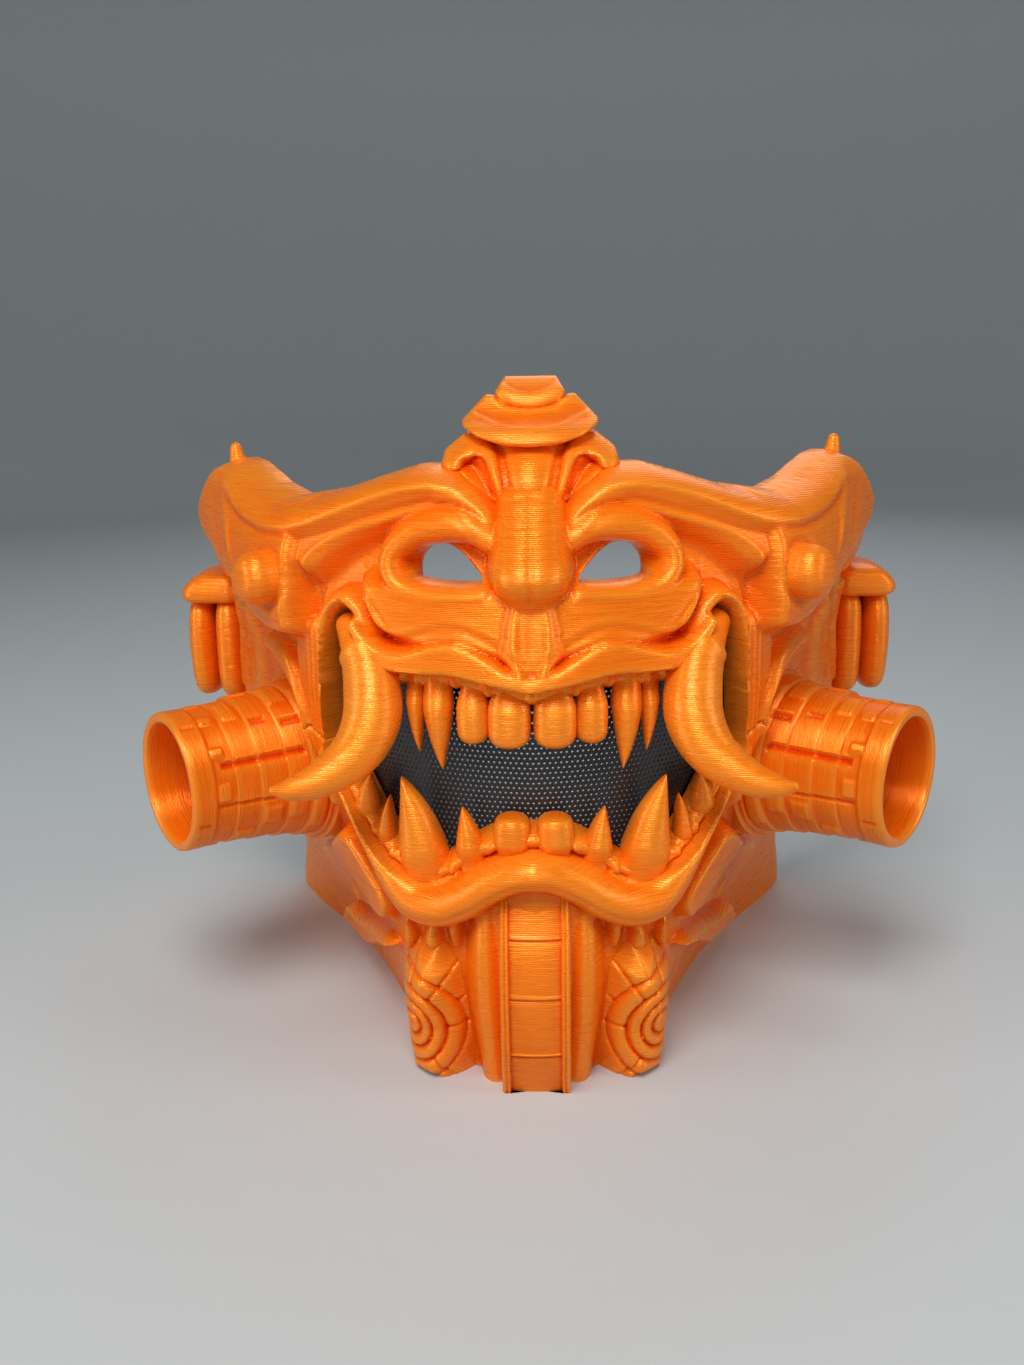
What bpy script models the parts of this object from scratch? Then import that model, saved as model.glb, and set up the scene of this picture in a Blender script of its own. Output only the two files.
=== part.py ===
"""Oni half mask: a relief face shell with applied crest, tusks, teeth, canisters and guards.

X is to the right, -Y is forward and Z is up. The mask stands on its flat chin and jaw rims,
at z = 0. The face is drawn on a curved base, a radius about an upright axis that depends on
the angle from the front and on the height. Relief adds to that radius. Outlines are drawn in
angle (degrees from the front) and height (share of MASK_HEIGHT), and mirrored left to right.
"""

import math

import bmesh
import bpy
import numpy as np
from mathutils import Vector

# Driving sizes, in metres
MASK_HEIGHT = 0.168
HEAD_RADIUS = 0.090
WALL = 0.0038
RELIEF = 0.010
GAP = 0.0003
SEAT = 0.0016
TUSK_RADIUS = 0.0068
CANISTER_RADIUS = 0.018
CANISTER_LENGTH = 0.040
CANISTER_BORE = 0.0155
FLANGE_RADIUS = 0.0235
BOLT_RADIUS = 0.0066
CREST_WIDTH = 0.041
BAND_WIDTH = 0.0165
BAND_RAIL = 0.0014
POD_HEIGHT = 0.0095
GUARD_HEIGHT = 0.0155
TOOTH_DEPTH = 0.0036
SCREEN_WALL = 0.001
EDGE_GAP = 0.0006
GUM_WIDTH = 0.0034

# Where the pieces sit: angle in degrees, and height as a share of MASK_HEIGHT
CANISTER_ANGLE = 63.0
CANISTER_AIM = 53.0
CANISTER_SHARE = 0.405
BOLT_ANGLE = 45.8
BOLT_SHARE = 0.728

# Fineness of the meshes
CELL = 0.0021
SHELL_KEEP = 0.07
UNROLL = 0.089

# Base radius, share of HEAD_RADIUS. Rows: height share, then one value for each base angle
BASE_ANGLES = (0, 20, 40, 60, 80, 100, 120)
BASE_ROWS = (
    (0.00, 0.96, 0.81, 0.63, 0.56, 0.58, 0.72, 1.06),
    (0.18, 1.00, 0.91, 0.72, 0.65, 0.68, 0.80, 1.03),
    (0.36, 0.97, 0.93, 0.83, 0.76, 0.81, 0.98, 1.14),
    (0.60, 0.96, 0.92, 0.89, 0.84, 0.87, 1.01, 1.15),
    (0.76, 0.87, 0.86, 0.89, 0.89, 0.94, 1.08, 1.18),
    (0.89, 0.71, 0.74, 0.77, 0.82, 0.91, 1.07, 1.13),
    (1.01, 0.58, 0.61, 0.68, 0.76, 0.87, 1.04, 1.11),
)

# Outlines of the shell's half and of its holes: angle, height share
SHELL_EDGE = (
    (0, 0.895), (11, 0.88), (17, 0.885), (22, 0.886), (29, 0.87), (36, 0.853), (48, 0.837),
    (57, 0.85), (63, 0.866), (69, 0.878), (73.5, 0.878), (75.5, 0.902), (77, 0.900), (78.5, 0.862),
    (84, 0.825), (93, 0.785), (100, 0.725), (107, 0.685), (115, 0.66), (113, 0.36), (116, 0.12),
    (118, -0.08), (0, -0.08),
)  # fmt: skip
MOUTH_HOLE = (
    (0, 0.60), (6, 0.61), (12, 0.62), (18, 0.617), (24, 0.625), (28, 0.66), (31.5, 0.688),
    (34, 0.67), (36, 0.61), (37.5, 0.53), (38, 0.48), (35, 0.445), (31.5, 0.405), (28, 0.37),
    (24, 0.34), (20, 0.323), (16, 0.318), (12, 0.336), (6, 0.372), (0, 0.38),
)  # fmt: skip
NOSTRIL_HOLE = (
    (7, 0.735), (9, 0.76), (11.6, 0.776), (14.5, 0.781), (17.5, 0.778), (19.6, 0.757),
    (18.8, 0.736), (14, 0.733), (10.5, 0.734),
)  # fmt: skip

# Raised masses of the relief: outline, height (share of RELIEF), edge width (share of RELIEF)
BROW_MASS = (
    (0, 0.93), (30, 0.93), (50, 0.91), (62, 0.93), (62, 0.85), (52, 0.80), (38, 0.75),
    (33, 0.76), (29, 0.79), (20, 0.815), (12, 0.82), (0, 0.80),
)  # fmt: skip
SHOULDER_MASS = (
    (40, 0.93), (68, 0.93), (74, 0.852), (78.5, 0.80), (77, 0.77), (73, 0.745), (65, 0.705), (60, 0.657),
    (50, 0.632), (43, 0.632), (38, 0.643), (39.5, 0.70), (40.5, 0.78),
)  # fmt: skip
MUZZLE_MASS = (
    (-3, 0.76), (8, 0.75), (16, 0.74), (22, 0.755), (27, 0.755), (29, 0.735), (26, 0.70),
    (24, 0.66), (20, 0.65), (14, 0.66), (9, 0.65), (4, 0.625), (-3, 0.62),
)  # fmt: skip
CHIN_MASS = ((-4, 0.33), (6, 0.31), (10.5, 0.27), (10.5, 0.05), (9, -0.05), (-4, -0.05))
UPPER_JAW_PLATE = ((52, 0.283), (37, 0.363), (24, 0.27), (26, 0.215), (30, 0.215))
LOWER_JAW_PLATE = ((68, 0.126), (56, 0.13), (28, 0.19), (25, 0.172), (51, 0.071), (84, 0.04))
MASSES = (
    (BROW_MASS, 0.45, 0.30),
    (SHOULDER_MASS, 0.90, 0.25),
    (MUZZLE_MASS, 0.62, 0.40),
    (CHIN_MASS, 0.20, 0.25),
    (UPPER_JAW_PLATE, 0.35, 0.35),
    (LOWER_JAW_PLATE, 0.35, 0.35),
)

# Rolls and ridges: rows of angle, height share, half width and height as shares of RELIEF
NOSE = (
    (0, 0.885, 0.60, 0.55), (0, 0.83, 0.65, 0.80), (0, 0.79, 0.85, 1.25), (0, 0.757, 1.08, 1.62),
    (0, 0.73, 0.95, 1.35), (0, 0.705, 0.60, 0.80),
)  # fmt: skip
NOSTRIL_ROLL = (
    (7, 0.80, 0.45, 0.85), (11, 0.817, 0.50, 0.90), (15, 0.817, 0.52, 0.90), (20, 0.80, 0.45, 0.80),
    (22.8, 0.775, 0.36, 0.70), (22.4, 0.742, 0.32, 0.68), (18, 0.720, 0.25, 0.68),
    (12, 0.719, 0.25, 0.70), (7, 0.722, 0.28, 0.75),
)  # fmt: skip
BROW_CREST = (
    (5, 0.835, 0.45, 0.75), (9, 0.854, 0.60, 0.90), (17, 0.866, 0.70, 0.95), (28, 0.845, 0.70, 0.95),
    (38, 0.812, 0.65, 0.95), (46, 0.803, 0.60, 1.00), (56, 0.818, 0.65, 1.05), (63, 0.842, 0.55, 1.05),
    (69, 0.868, 0.40, 0.95),
)  # fmt: skip
HORN = ((72, 0.83, 0.50, 0.80), (75, 0.86, 0.35, 0.60), (76, 0.90, 0.20, 0.30))
LIP_ROLL = (
    (0, 0.622, 0.40, 1.00), (4, 0.637, 0.45, 1.00), (9, 0.660, 0.45, 0.95), (14, 0.662, 0.42, 0.92),
    (20, 0.647, 0.40, 0.90), (24, 0.658, 0.35, 0.85), (28, 0.69, 0.30, 0.75), (31, 0.707, 0.30, 0.65),
    (35, 0.685, 0.28, 0.60), (37, 0.63, 0.26, 0.60), (38.6, 0.55, 0.26, 0.55), (39, 0.47, 0.26, 0.50),
)  # fmt: skip
PHILTRUM = ((2.2, 0.70, 0.34, 0.85), (2.6, 0.667, 0.38, 0.98), (2.2, 0.635, 0.36, 1.05))
CHEEK_RIM = (
    (62, 0.60, 0.30, 0.50), (53, 0.585, 0.32, 0.55), (46.5, 0.53, 0.32, 0.55),
    (45, 0.46, 0.32, 0.55), (48, 0.39, 0.32, 0.50), (54, 0.32, 0.30, 0.45), (61, 0.27, 0.28, 0.40),
)  # fmt: skip
LOWER_LIP = (
    (38, 0.455, 0.32, 0.60), (34, 0.425, 0.42, 0.75), (30, 0.385, 0.45, 0.85),
    (26, 0.345, 0.48, 0.92), (22.4, 0.308, 0.50, 0.95), (19, 0.290, 0.50, 1.00),
    (15, 0.287, 0.50, 1.00), (11, 0.305, 0.48, 1.00), (7, 0.335, 0.46, 1.00), (3, 0.355, 0.45, 1.0),
    (0, 0.358, 0.45, 1.00),
)  # fmt: skip
RIDGES = (
    NOSE, NOSTRIL_ROLL, BROW_CREST, HORN, LIP_ROLL, PHILTRUM, CHEEK_RIM, LOWER_LIP,
)  # fmt: skip

# Teeth: root angle, root height share, tip angle, tip height share, half width (share of RELIEF)
UPPER_TEETH = (
    (18.2, 0.600, 17.6, 0.503, 0.28, 1.0), (14.5, 0.600, 13.6, 0.483, 0.42, 1.0),
    (8.9, 0.592, 8.6, 0.523, 0.32, 0.0), (3.3, 0.590, 3.2, 0.520, 0.43, 0.0),
)  # fmt: skip
LOWER_TEETH = (
    (29.5, 0.385, 28.2, 0.452, 0.40, 1.0), (25.4, 0.345, 24.1, 0.427, 0.20, 1.0),
    (18.2, 0.318, 20.6, 0.463, 0.68, 1.0), (9.6, 0.352, 10.7, 0.429, 0.36, 1.0),
    (3.2, 0.375, 3.1, 0.418, 0.38, 0.0),
)  # fmt: skip
# Gum limits: lowest and highest height share, widest angle
UPPER_GUM = (0.54, 0.70, 23)
LOWER_GUM = (0.30, 0.47, 34)
SCREEN_EDGE = (
    (0, 0.65), (20, 0.66), (34, 0.71), (40, 0.66), (42, 0.50), (36, 0.40), (24, 0.30),
    (12, 0.29), (0, 0.33),
)  # fmt: skip

# Tusk centre line: x, y as shares of HEAD_RADIUS, height share, radius share of TUSK_RADIUS
TUSK_PATH = (
    (0.485, 0.235, 0.668, 0.66), (0.44, 0.15, 0.640, 0.93), (0.41, 0.095, 0.597, 1.00),
    (0.408, 0.045, 0.552, 0.98), (0.45, 0.0, 0.512, 0.82), (0.53, -0.05, 0.486, 0.60),
    (0.60, -0.078, 0.478, 0.38), (0.65, -0.09, 0.479, 0.10),
)  # fmt: skip

# Crest sections: height share, front y and rear y (share of HEAD_RADIUS), half width (share)
CREST_LOW = (
    (0.842, 0.145, 0.27, 0.26), (0.862, 0.17, 0.29, 0.66), (0.882, 0.21, 0.32, 1.00),
    (0.905, 0.25, 0.36, 0.92), (0.926, 0.30, 0.39, 0.72),
)  # fmt: skip
CREST_MID = (
    (0.900, 0.21, 0.34, 0.52), (0.918, 0.22, 0.38, 0.72), (0.938, 0.25, 0.41, 0.76),
    (0.960, 0.31, 0.44, 0.58), (0.978, 0.36, 0.46, 0.48),
)  # fmt: skip
CREST_TOP = (
    (0.960, 0.29, 0.42, 0.24), (0.975, 0.31, 0.45, 0.38), (0.988, 0.34, 0.47, 0.38),
    (1.000, 0.39, 0.48, 0.29),
)  # fmt: skip

# Chin band: height share, and y of its front as a share of HEAD_RADIUS
BAND_PATH = (
    (0.315, 0.005), (0.27, -0.032), (0.22, -0.062), (0.16, -0.074), (0.10, -0.066), (0.05, -0.040),
    (0.0, -0.005),
)  # fmt: skip
POD_EDGE = (
    (11.5, -0.04), (11, 0.10), (12, 0.185), (15, 0.225), (20, 0.215), (24.5, 0.17), (26.5, 0.10),
    (26.5, 0.04), (25.5, -0.04),
)  # fmt: skip
POD_CENTRE = (20.6, 0.085)
GUARD_EDGE = (
    (97, 0.655), (108, 0.66), (109, 0.62), (108.5, 0.43), (104, 0.425), (99.5, 0.435), (98, 0.59),
)  # fmt: skip
GUARD_LOBES = (
    ((97, 0.635, 0.42, 1.0), (108, 0.64, 0.42, 1.0)),
    ((100.5, 0.61, 0.30, 0.85), (100.8, 0.45, 0.30, 0.90)),
    ((106.0, 0.61, 0.42, 0.92), (105.8, 0.445, 0.42, 1.05)),
)

# Canister profile: distance along the axis (share of the length), radius (share), grows or not
CANISTER_PROFILE = (
    (0.10, 1.20), (0.22, 1.17), (0.24, 1.11), (0.54, 1.08), (0.56, 1.03), (0.86, 0.99),
    (0.89, 1.03), (1.00, 1.02),
)  # fmt: skip
FLOOR_SHARE = 0.25

PRINT_ORANGE = (0.86, 0.18, 0.03, 1.0)
SCREEN_BLACK = (0.02, 0.02, 0.022, 1.0)


def smooth_steps(knots, values, wanted):
    """Values at the wanted places, by a smooth curve through rows of values at the knots."""
    knots = np.asarray(knots, float)
    values = np.asarray(values, float)
    wanted = np.clip(wanted, knots[0], knots[-1])
    slopes = np.gradient(values, knots, axis=0)
    i = np.clip(np.searchsorted(knots, wanted, side="right") - 1, 0, len(knots) - 2)
    step = knots[i + 1] - knots[i]
    t = (wanted - knots[i]) / step
    t, step = (a.reshape(a.shape + (1,) * (values.ndim - 1)) for a in (t, step))
    rise = t * t * (3 - 2 * t)
    start = values[i] * (1 - rise) + step * slopes[i] * t * (1 - t) ** 2
    return start + values[i + 1] * rise - step * slopes[i + 1] * t * t * (1 - t)


def base_radius(u, v):
    """Radius of the base surface at unrolled places u (along) and v (up), in metres."""
    rows = np.array(BASE_ROWS)
    angle = np.abs(np.degrees(u / UNROLL))
    by_angle = smooth_steps(BASE_ANGLES, rows[:, 1:].T, angle.ravel())
    heights = rows[:, 0] * MASK_HEIGHT
    slopes = np.gradient(by_angle, heights, axis=1)
    place = np.clip(v.ravel(), heights[0], heights[-1])
    i = np.clip(np.searchsorted(heights, place, side="right") - 1, 0, len(heights) - 2)
    step = heights[i + 1] - heights[i]
    t = (place - heights[i]) / step
    rise = t * t * (3 - 2 * t)
    each = np.arange(len(i))
    low, high = by_angle[each, i], by_angle[each, i + 1]
    bend = step * (slopes[each, i] * t * (1 - t) ** 2 - slopes[each, i + 1] * t * t * (1 - t))
    return ((low * (1 - rise) + high * rise + bend) * HEAD_RADIUS).reshape(u.shape)


def to_space(u, v, radius):
    """Points in space of unrolled places at the given radii."""
    angle = u / UNROLL
    return np.stack([radius * np.sin(angle), HEAD_RADIUS - radius * np.cos(angle), v], -1)


def unrolled(rows):
    """The rows with their angle and height share turned into unrolled metres."""
    rows = np.array(rows, float)
    rows[:, 0] = np.radians(rows[:, 0]) * UNROLL
    rows[:, 1] *= MASK_HEIGHT
    return rows


def curve_through(rows, steps=6):
    """A smooth curve through the rows, with the given steps between two rows."""
    rows = np.asarray(rows, float)
    places = np.linspace(0, len(rows) - 1, (len(rows) - 1) * steps + 1)
    return smooth_steps(np.arange(len(rows)), rows, places)


def nearest_on(points, curve):
    """Distance of each point to the curve, and the curve's other columns where it is nearest."""
    best = np.full(len(points), np.inf)
    extras = np.zeros((len(points), curve.shape[1] - 2))
    for start, end in zip(curve[:-1], curve[1:]):
        along = end[:2] - start[:2]
        t = np.clip((points - start[:2]) @ along / max(along @ along, 1e-18), 0, 1)
        distance = np.linalg.norm(points - start[:2] - t[:, None] * along, axis=1)
        closer = distance < best
        best[closer] = distance[closer]
        extras[closer] = (start[2:] + t[:, None] * (end[2:] - start[2:]))[closer]
    return best, extras


def depth_inside(points, outline):
    """How far each point is inside a closed outline, negative outside it."""
    loop = np.vstack([outline, outline[:1]])
    distance = nearest_on(points, loop)[0]
    inside = np.zeros(len(points), bool)
    for (x0, y0), (x1, y1) in zip(loop[:-1], loop[1:]):
        if y0 == y1:
            continue
        crosses = (y0 > points[:, 1]) != (y1 > points[:, 1])
        inside ^= crosses & (points[:, 0] < x0 + (points[:, 1] - y0) * (x1 - x0) / (y1 - y0))
    return np.where(inside, distance, -distance)


def both_sides(rows):
    """A half outline from the middle line round to it again, closed by its mirror image."""
    half = unrolled(rows)
    other = half[::-1] * (-1, 1)
    return np.vstack([half, other[1:-1]])


def flat_step(value, width):
    """0 below zero, rising smoothly to 1 at the width."""
    t = np.clip(value / width, 0, 1)
    return t * t * (3 - 2 * t)


def roll(points, rows):
    """Relief of one round roll along its rows."""
    curve = curve_through(unrolled(rows))
    distance, sizes = nearest_on(points, curve)
    share = np.clip(distance / (sizes[:, 0] * RELIEF), 0, 1)
    return sizes[:, 1] * RELIEF * np.sqrt(1 - share**2)


def canister_clearance(points):
    """1 on the face, falling to 0 where the canister's flange sits."""
    centre = unrolled(((CANISTER_ANGLE, CANISTER_SHARE),))[0]
    away = np.linalg.norm((points - centre) * (0.80, 1.0), axis=1)
    return flat_step(away - FLANGE_RADIUS, 0.3 * RELIEF)


def relief(points):
    """Height of the face's relief above the base at unrolled points."""
    half = np.column_stack([np.abs(points[:, 0]), points[:, 1]])
    height = np.zeros(len(points))
    for outline, rise, edge in MASSES:
        inside = depth_inside(half, unrolled(outline))
        height = np.maximum(height, rise * RELIEF * flat_step(inside, edge * RELIEF))
    for rows in RIDGES:
        height = np.maximum(height, roll(half, rows))
    return height * canister_clearance(half)


def shell_region(points):
    """Depth inside the shell's own region: its outline less the mouth and the nostrils."""
    half = np.column_stack([np.abs(points[:, 0]), points[:, 1]])
    depth = depth_inside(points, both_sides(SHELL_EDGE))
    depth = np.minimum(depth, -depth_inside(points, both_sides(MOUTH_HOLE)))
    return np.minimum(depth, -depth_inside(half, unrolled(NOSTRIL_HOLE)))


def tooth_width(points, row):
    """Half width left at each point beside one tooth's axis, negative off the tooth."""
    root, tip = unrolled(((row[0], row[1]), (row[2], row[3])))
    axis = tip - root
    length = np.linalg.norm(axis)
    along = (points - root) @ axis / length**2
    across = np.abs((points - root) @ np.array([-axis[1], axis[0]])) / length
    taper = np.clip(along, 0, 1)
    pointed = (1 - taper**1.6) * 0.93 + 0.07
    blunt = np.sqrt(1 - np.clip((taper - 0.75) / 0.25, 0, 1) ** 2 * 0.5)
    width = row[4] * RELIEF * (row[5] * pointed + (1 - row[5]) * blunt)
    ends = np.minimum((1 - along) * length, (along + 0.25) * length)
    return np.minimum(width - across, ends), across / width


def gum_depth(points, limits):
    """Depth inside the strip of gum along the mouth's edge, between its limits."""
    low, high, widest = limits
    edge = depth_inside(points, both_sides(MOUTH_HOLE)) - EDGE_GAP
    strip = np.minimum(edge, GUM_WIDTH - edge)
    ends = np.radians(widest) * UNROLL - np.abs(points[:, 0])
    tall = np.minimum(points[:, 1] - low * MASK_HEIGHT, high * MASK_HEIGHT - points[:, 1])
    return np.minimum(np.minimum(strip, ends), tall), edge


def teeth_region(teeth, gum):
    """Function giving the depth inside a row of teeth and the gum that joins them.

    The gum stops a little short of the mouth's edge, which holds it.
    """

    def depth(points):
        half = np.column_stack([np.abs(points[:, 0]), points[:, 1]])
        inside, edge = gum_depth(points, gum)
        for row in teeth:
            inside = np.maximum(inside, tooth_width(half, row)[0])
        return np.minimum(inside, edge)

    return depth


def teeth_height(teeth, gum):
    """Function giving the height of the teeth and of their gum above the base."""

    def height(points):
        half = np.column_stack([np.abs(points[:, 0]), points[:, 1]])
        inside = gum_depth(points, gum)[0]
        rise = 0.25 * TOOTH_DEPTH * flat_step(inside, 0.3 * TOOTH_DEPTH)
        for row in teeth:
            inside, share = tooth_width(half, row)
            bulge = TOOTH_DEPTH * np.sqrt(np.clip(1 - share**2, 0, 1))
            rise = np.maximum(rise, np.where(inside > 0, bulge, 0))
        return rise

    return height


def outline_region(rows):
    """Function giving the depth inside one outline drawn on the right half."""
    outline = unrolled(rows)
    return lambda points: depth_inside(points, outline)


def clipped_grid(region, low, high, cell):
    """Points and triangles of the part of a plane grid where the region's depth is positive.

    Grid points close to the edge are moved onto it, and triangles that cross the edge are cut.
    """
    counts = [max(2, int(math.ceil((high[k] - low[k]) / cell)) + 1) for k in (0, 1)]
    us, vs = (np.linspace(low[k], high[k], counts[k]) for k in (0, 1))
    grid = np.stack(np.meshgrid(us, vs, indexing="ij"), -1).reshape(-1, 2)
    depth = region(grid)
    probe = cell * 0.05
    for _ in range(2):
        slope = np.stack([(region(grid + step) - depth) / probe for step in np.eye(2) * probe], -1)
        size = np.maximum((slope**2).sum(1), 0.2)
        near = (np.abs(depth) < 0.38 * cell) & (grid[:, 1] > low[1]) & (grid[:, 1] < high[1])
        grid = np.where(near[:, None], grid - slope * (depth / size)[:, None], grid)
        depth = region(grid)
    depth[np.abs(depth) < 0.06 * cell] = 0.0
    points = [tuple(p) for p in grid]
    cuts = {}
    triangles = []

    def cut(a, b):
        """Index of the point where the edge from a to b crosses the region's edge."""
        key = (min(a, b), max(a, b))
        if key not in cuts:
            t = depth[a] / (depth[a] - depth[b])
            points.append(tuple(grid[a] + t * (grid[b] - grid[a])))
            cuts[key] = len(points) - 1
        return cuts[key]

    across = counts[1]
    for i in range(counts[0] - 1):
        for j in range(counts[1] - 1):
            a = i * across + j
            corners = (a, a + across, a + across + 1, a + 1)
            swap = (i + j) % 2
            split = (0, 1, 2, 0, 2, 3) if swap else (0, 1, 3, 1, 2, 3)
            for triple in (split[:3], split[3:]):
                loop = [corners[k] for k in triple]
                if max(depth[k] for k in loop) <= 0:
                    continue
                kept = []
                for k, point in enumerate(loop):
                    following = loop[(k + 1) % 3]
                    if depth[point] >= 0:
                        kept.append(point)
                    if depth[point] * depth[following] < 0:
                        kept.append(cut(point, following))
                for k in range(1, len(kept) - 1):
                    triangles.append((kept[0], kept[k], kept[k + 1]))
    used = sorted({k for triple in triangles for k in triple})
    renumbered = {old: new for new, old in enumerate(used)}
    points = np.array([points[k] for k in used])
    return points, [tuple(renumbered[k] for k in triple) for triple in triangles]


def wall_solid(name, region, low, high, cell, front, back):
    """A closed wall over a region, between a front and a back radius at each unrolled point."""
    points, triangles = clipped_grid(region, low, high, cell)
    count = len(points)
    front_points = to_space(points[:, 0], points[:, 1], front(points))
    back_points = to_space(points[:, 0], points[:, 1], back(points))
    faces = list(triangles) + [tuple(k + count for k in reversed(t)) for t in triangles]
    edges = {}
    for a, b, c in triangles:
        for edge in ((a, b), (b, c), (c, a)):
            edges[edge] = True
    for a, b in edges:
        if (b, a) not in edges:
            faces.append((b, a, a + count, b + count))
    return new_object(name, np.vstack([front_points, back_points]), faces)


def new_object(name, points, faces):
    """An object of the points and faces, with its faces turned outwards."""
    mesh = bpy.data.meshes.new(name)
    mesh.from_pydata([tuple(p) for p in points], [], [tuple(f) for f in faces])
    obj = bpy.data.objects.new(name, mesh)
    bpy.context.scene.collection.objects.link(obj)
    tidy_mesh(obj)
    return obj


def tidy_mesh(obj):
    """Joins doubled points, keeps the largest body and turns the faces outwards."""
    work = bmesh.new()
    work.from_mesh(obj.data)
    bmesh.ops.remove_doubles(work, verts=work.verts, dist=1e-6)
    bmesh.ops.dissolve_degenerate(work, dist=1e-6, edges=work.edges)
    bodies = []
    waiting = set(work.verts)
    while waiting:
        front = [waiting.pop()]
        body = set(front)
        while front:
            for edge in front.pop().link_edges:
                for vert in edge.verts:
                    if vert in waiting:
                        waiting.discard(vert)
                        body.add(vert)
                        front.append(vert)
        bodies.append(body)
    bodies.sort(key=len)
    for body in bodies[:-1]:
        bmesh.ops.delete(work, geom=list(body), context="VERTS")
    bmesh.ops.triangulate(work, faces=work.faces)
    bmesh.ops.recalc_face_normals(work, faces=work.faces)
    if work.calc_volume(signed=True) < 0:
        bmesh.ops.reverse_faces(work, faces=work.faces)
    work.to_mesh(obj.data)
    work.free()


def apply_modifiers(obj):
    """Replaces the object's mesh with its evaluated one and clears its modifiers."""
    graph = bpy.context.evaluated_depsgraph_get()
    mesh = bpy.data.meshes.new_from_object(obj.evaluated_get(graph))
    obj.modifiers.clear()
    obj.data = mesh
    tidy_mesh(obj)


def thinned(obj, keep):
    """Removes the triangles that the shape needs least, keeping the given share of them."""
    modifier = obj.modifiers.new("thin", "DECIMATE")
    modifier.ratio = keep
    modifier.use_collapse_triangulate = True
    apply_modifiers(obj)


def grown_copy(obj, by):
    """A hidden copy of the object whose surface lies the given distance further out."""
    copy = obj.copy()
    copy.data = obj.data.copy()
    copy.name = obj.name + "_clearance"
    bpy.context.scene.collection.objects.link(copy)
    work = bmesh.new()
    work.from_mesh(copy.data)
    moves = [v.normal * by * min(v.calc_shell_factor(), 2.5) for v in work.verts]
    for vert, move in zip(work.verts, moves):
        vert.co += move
    work.to_mesh(copy.data)
    work.free()
    copy.hide_render = True
    copy.display_type = "WIRE"
    return copy


def subtract(obj, cutters):
    """Cuts the cutters out of the object, one after another, and removes them."""
    for cutter in cutters:
        modifier = obj.modifiers.new("cut", "BOOLEAN")
        modifier.operation = "DIFFERENCE"
        modifier.solver = "EXACT"
        modifier.object = cutter
        apply_modifiers(obj)
        bpy.data.objects.remove(cutter)


def turned_solid(name, profile, centre, axis, segments=24):
    """A solid turned about an axis from a profile of (along, radius) that starts and ends on it."""
    axis = Vector(axis).normalized()
    side = axis.cross(Vector((0, 0, 1))).normalized()
    up = side.cross(axis)
    points = []
    rings = []
    for along, radius in profile:
        middle = Vector(centre) + axis * along
        if radius == 0:
            points.append(tuple(middle))
            rings.append([len(points) - 1] * segments)
            continue
        start = len(points)
        for k in range(segments):
            turn = 2 * math.pi * k / segments
            points.append(tuple(middle + (side * math.cos(turn) + up * math.sin(turn)) * radius))
        rings.append(list(range(start, start + segments)))
    faces = []
    for low, high in zip(rings[:-1], rings[1:]):
        for k in range(segments):
            following = (k + 1) % segments
            loop = list(dict.fromkeys((low[k], low[following], high[following], high[k])))
            faces.append(loop)
    return new_object(name, points, faces)


def lofted_solid(name, rings):
    """A solid through rings of points, closed by a flat face at each end."""
    count = len(rings[0])
    points = [tuple(p) for ring in rings for p in ring]
    faces = [list(range(count)), list(range(len(points) - count, len(points)))]
    for k in range(len(rings) - 1):
        for i in range(count):
            j = (i + 1) % count
            faces.append((k * count + i, k * count + j, (k + 1) * count + j, (k + 1) * count + i))
    return new_object(name, points, faces)


def canister_frame(side):
    """Centre on the base surface and outward axis of the canister on one side."""
    centre = unrolled(((CANISTER_ANGLE, CANISTER_SHARE),))
    point = to_space(centre[:, 0], centre[:, 1], base_radius(centre[:, 0], centre[:, 1]))[0]
    aim = math.radians(CANISTER_AIM)
    return (side * point[0], point[1], point[2]), (side * math.sin(aim), -math.cos(aim), 0)


def seat_core(depth):
    """A hidden block inside the face, its outer side that far below the base surface."""
    reach = 2.2 * FLANGE_RADIUS
    centre = unrolled(((CANISTER_ANGLE, CANISTER_SHARE),))[0]
    low, high = centre - reach, centre + reach

    def outer(points):
        return base_radius(points[:, 0], points[:, 1]) - depth

    def inner(points):
        return outer(points) - 1.2 * FLANGE_RADIUS

    return wall_solid("core", lambda p: np.ones(len(p)), low, high, 5 * CELL, outer, inner)


def canister(name, side, grow=0.0):
    """A hollow ribbed tube with a stepped flange whose back follows the cheek.

    With a grow it is the plain block, that much larger, that clears its seat in the shell.
    """
    centre, axis = canister_frame(1)
    back = -0.9 * FLANGE_RADIUS
    radius = FLANGE_RADIUS + grow
    if grow:
        profile = [(back, 0), (back, radius), (0.5 * CANISTER_LENGTH, radius), (0.5 * CANISTER_LENGTH, 0)]
    else:
        profile = [(back, 0), (back, radius), (0.07 * CANISTER_LENGTH, radius)]
        profile += [(a * CANISTER_LENGTH, r * CANISTER_RADIUS) for a, r in CANISTER_PROFILE]
        profile += [(CANISTER_LENGTH, CANISTER_BORE), (FLOOR_SHARE * CANISTER_LENGTH, CANISTER_BORE)]
        profile.append((FLOOR_SHARE * CANISTER_LENGTH, 0))
    body = turned_solid(name, profile, centre, axis)
    subtract(body, [seat_core(SEAT + grow)])
    if side < 0:
        mirror(body)
    return body


def mirror(obj):
    """Turns the object's mesh into its mirror image across the middle of the face."""
    for vert in obj.data.vertices:
        vert.co.x = -vert.co.x
    obj.data.flip_normals()


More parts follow.
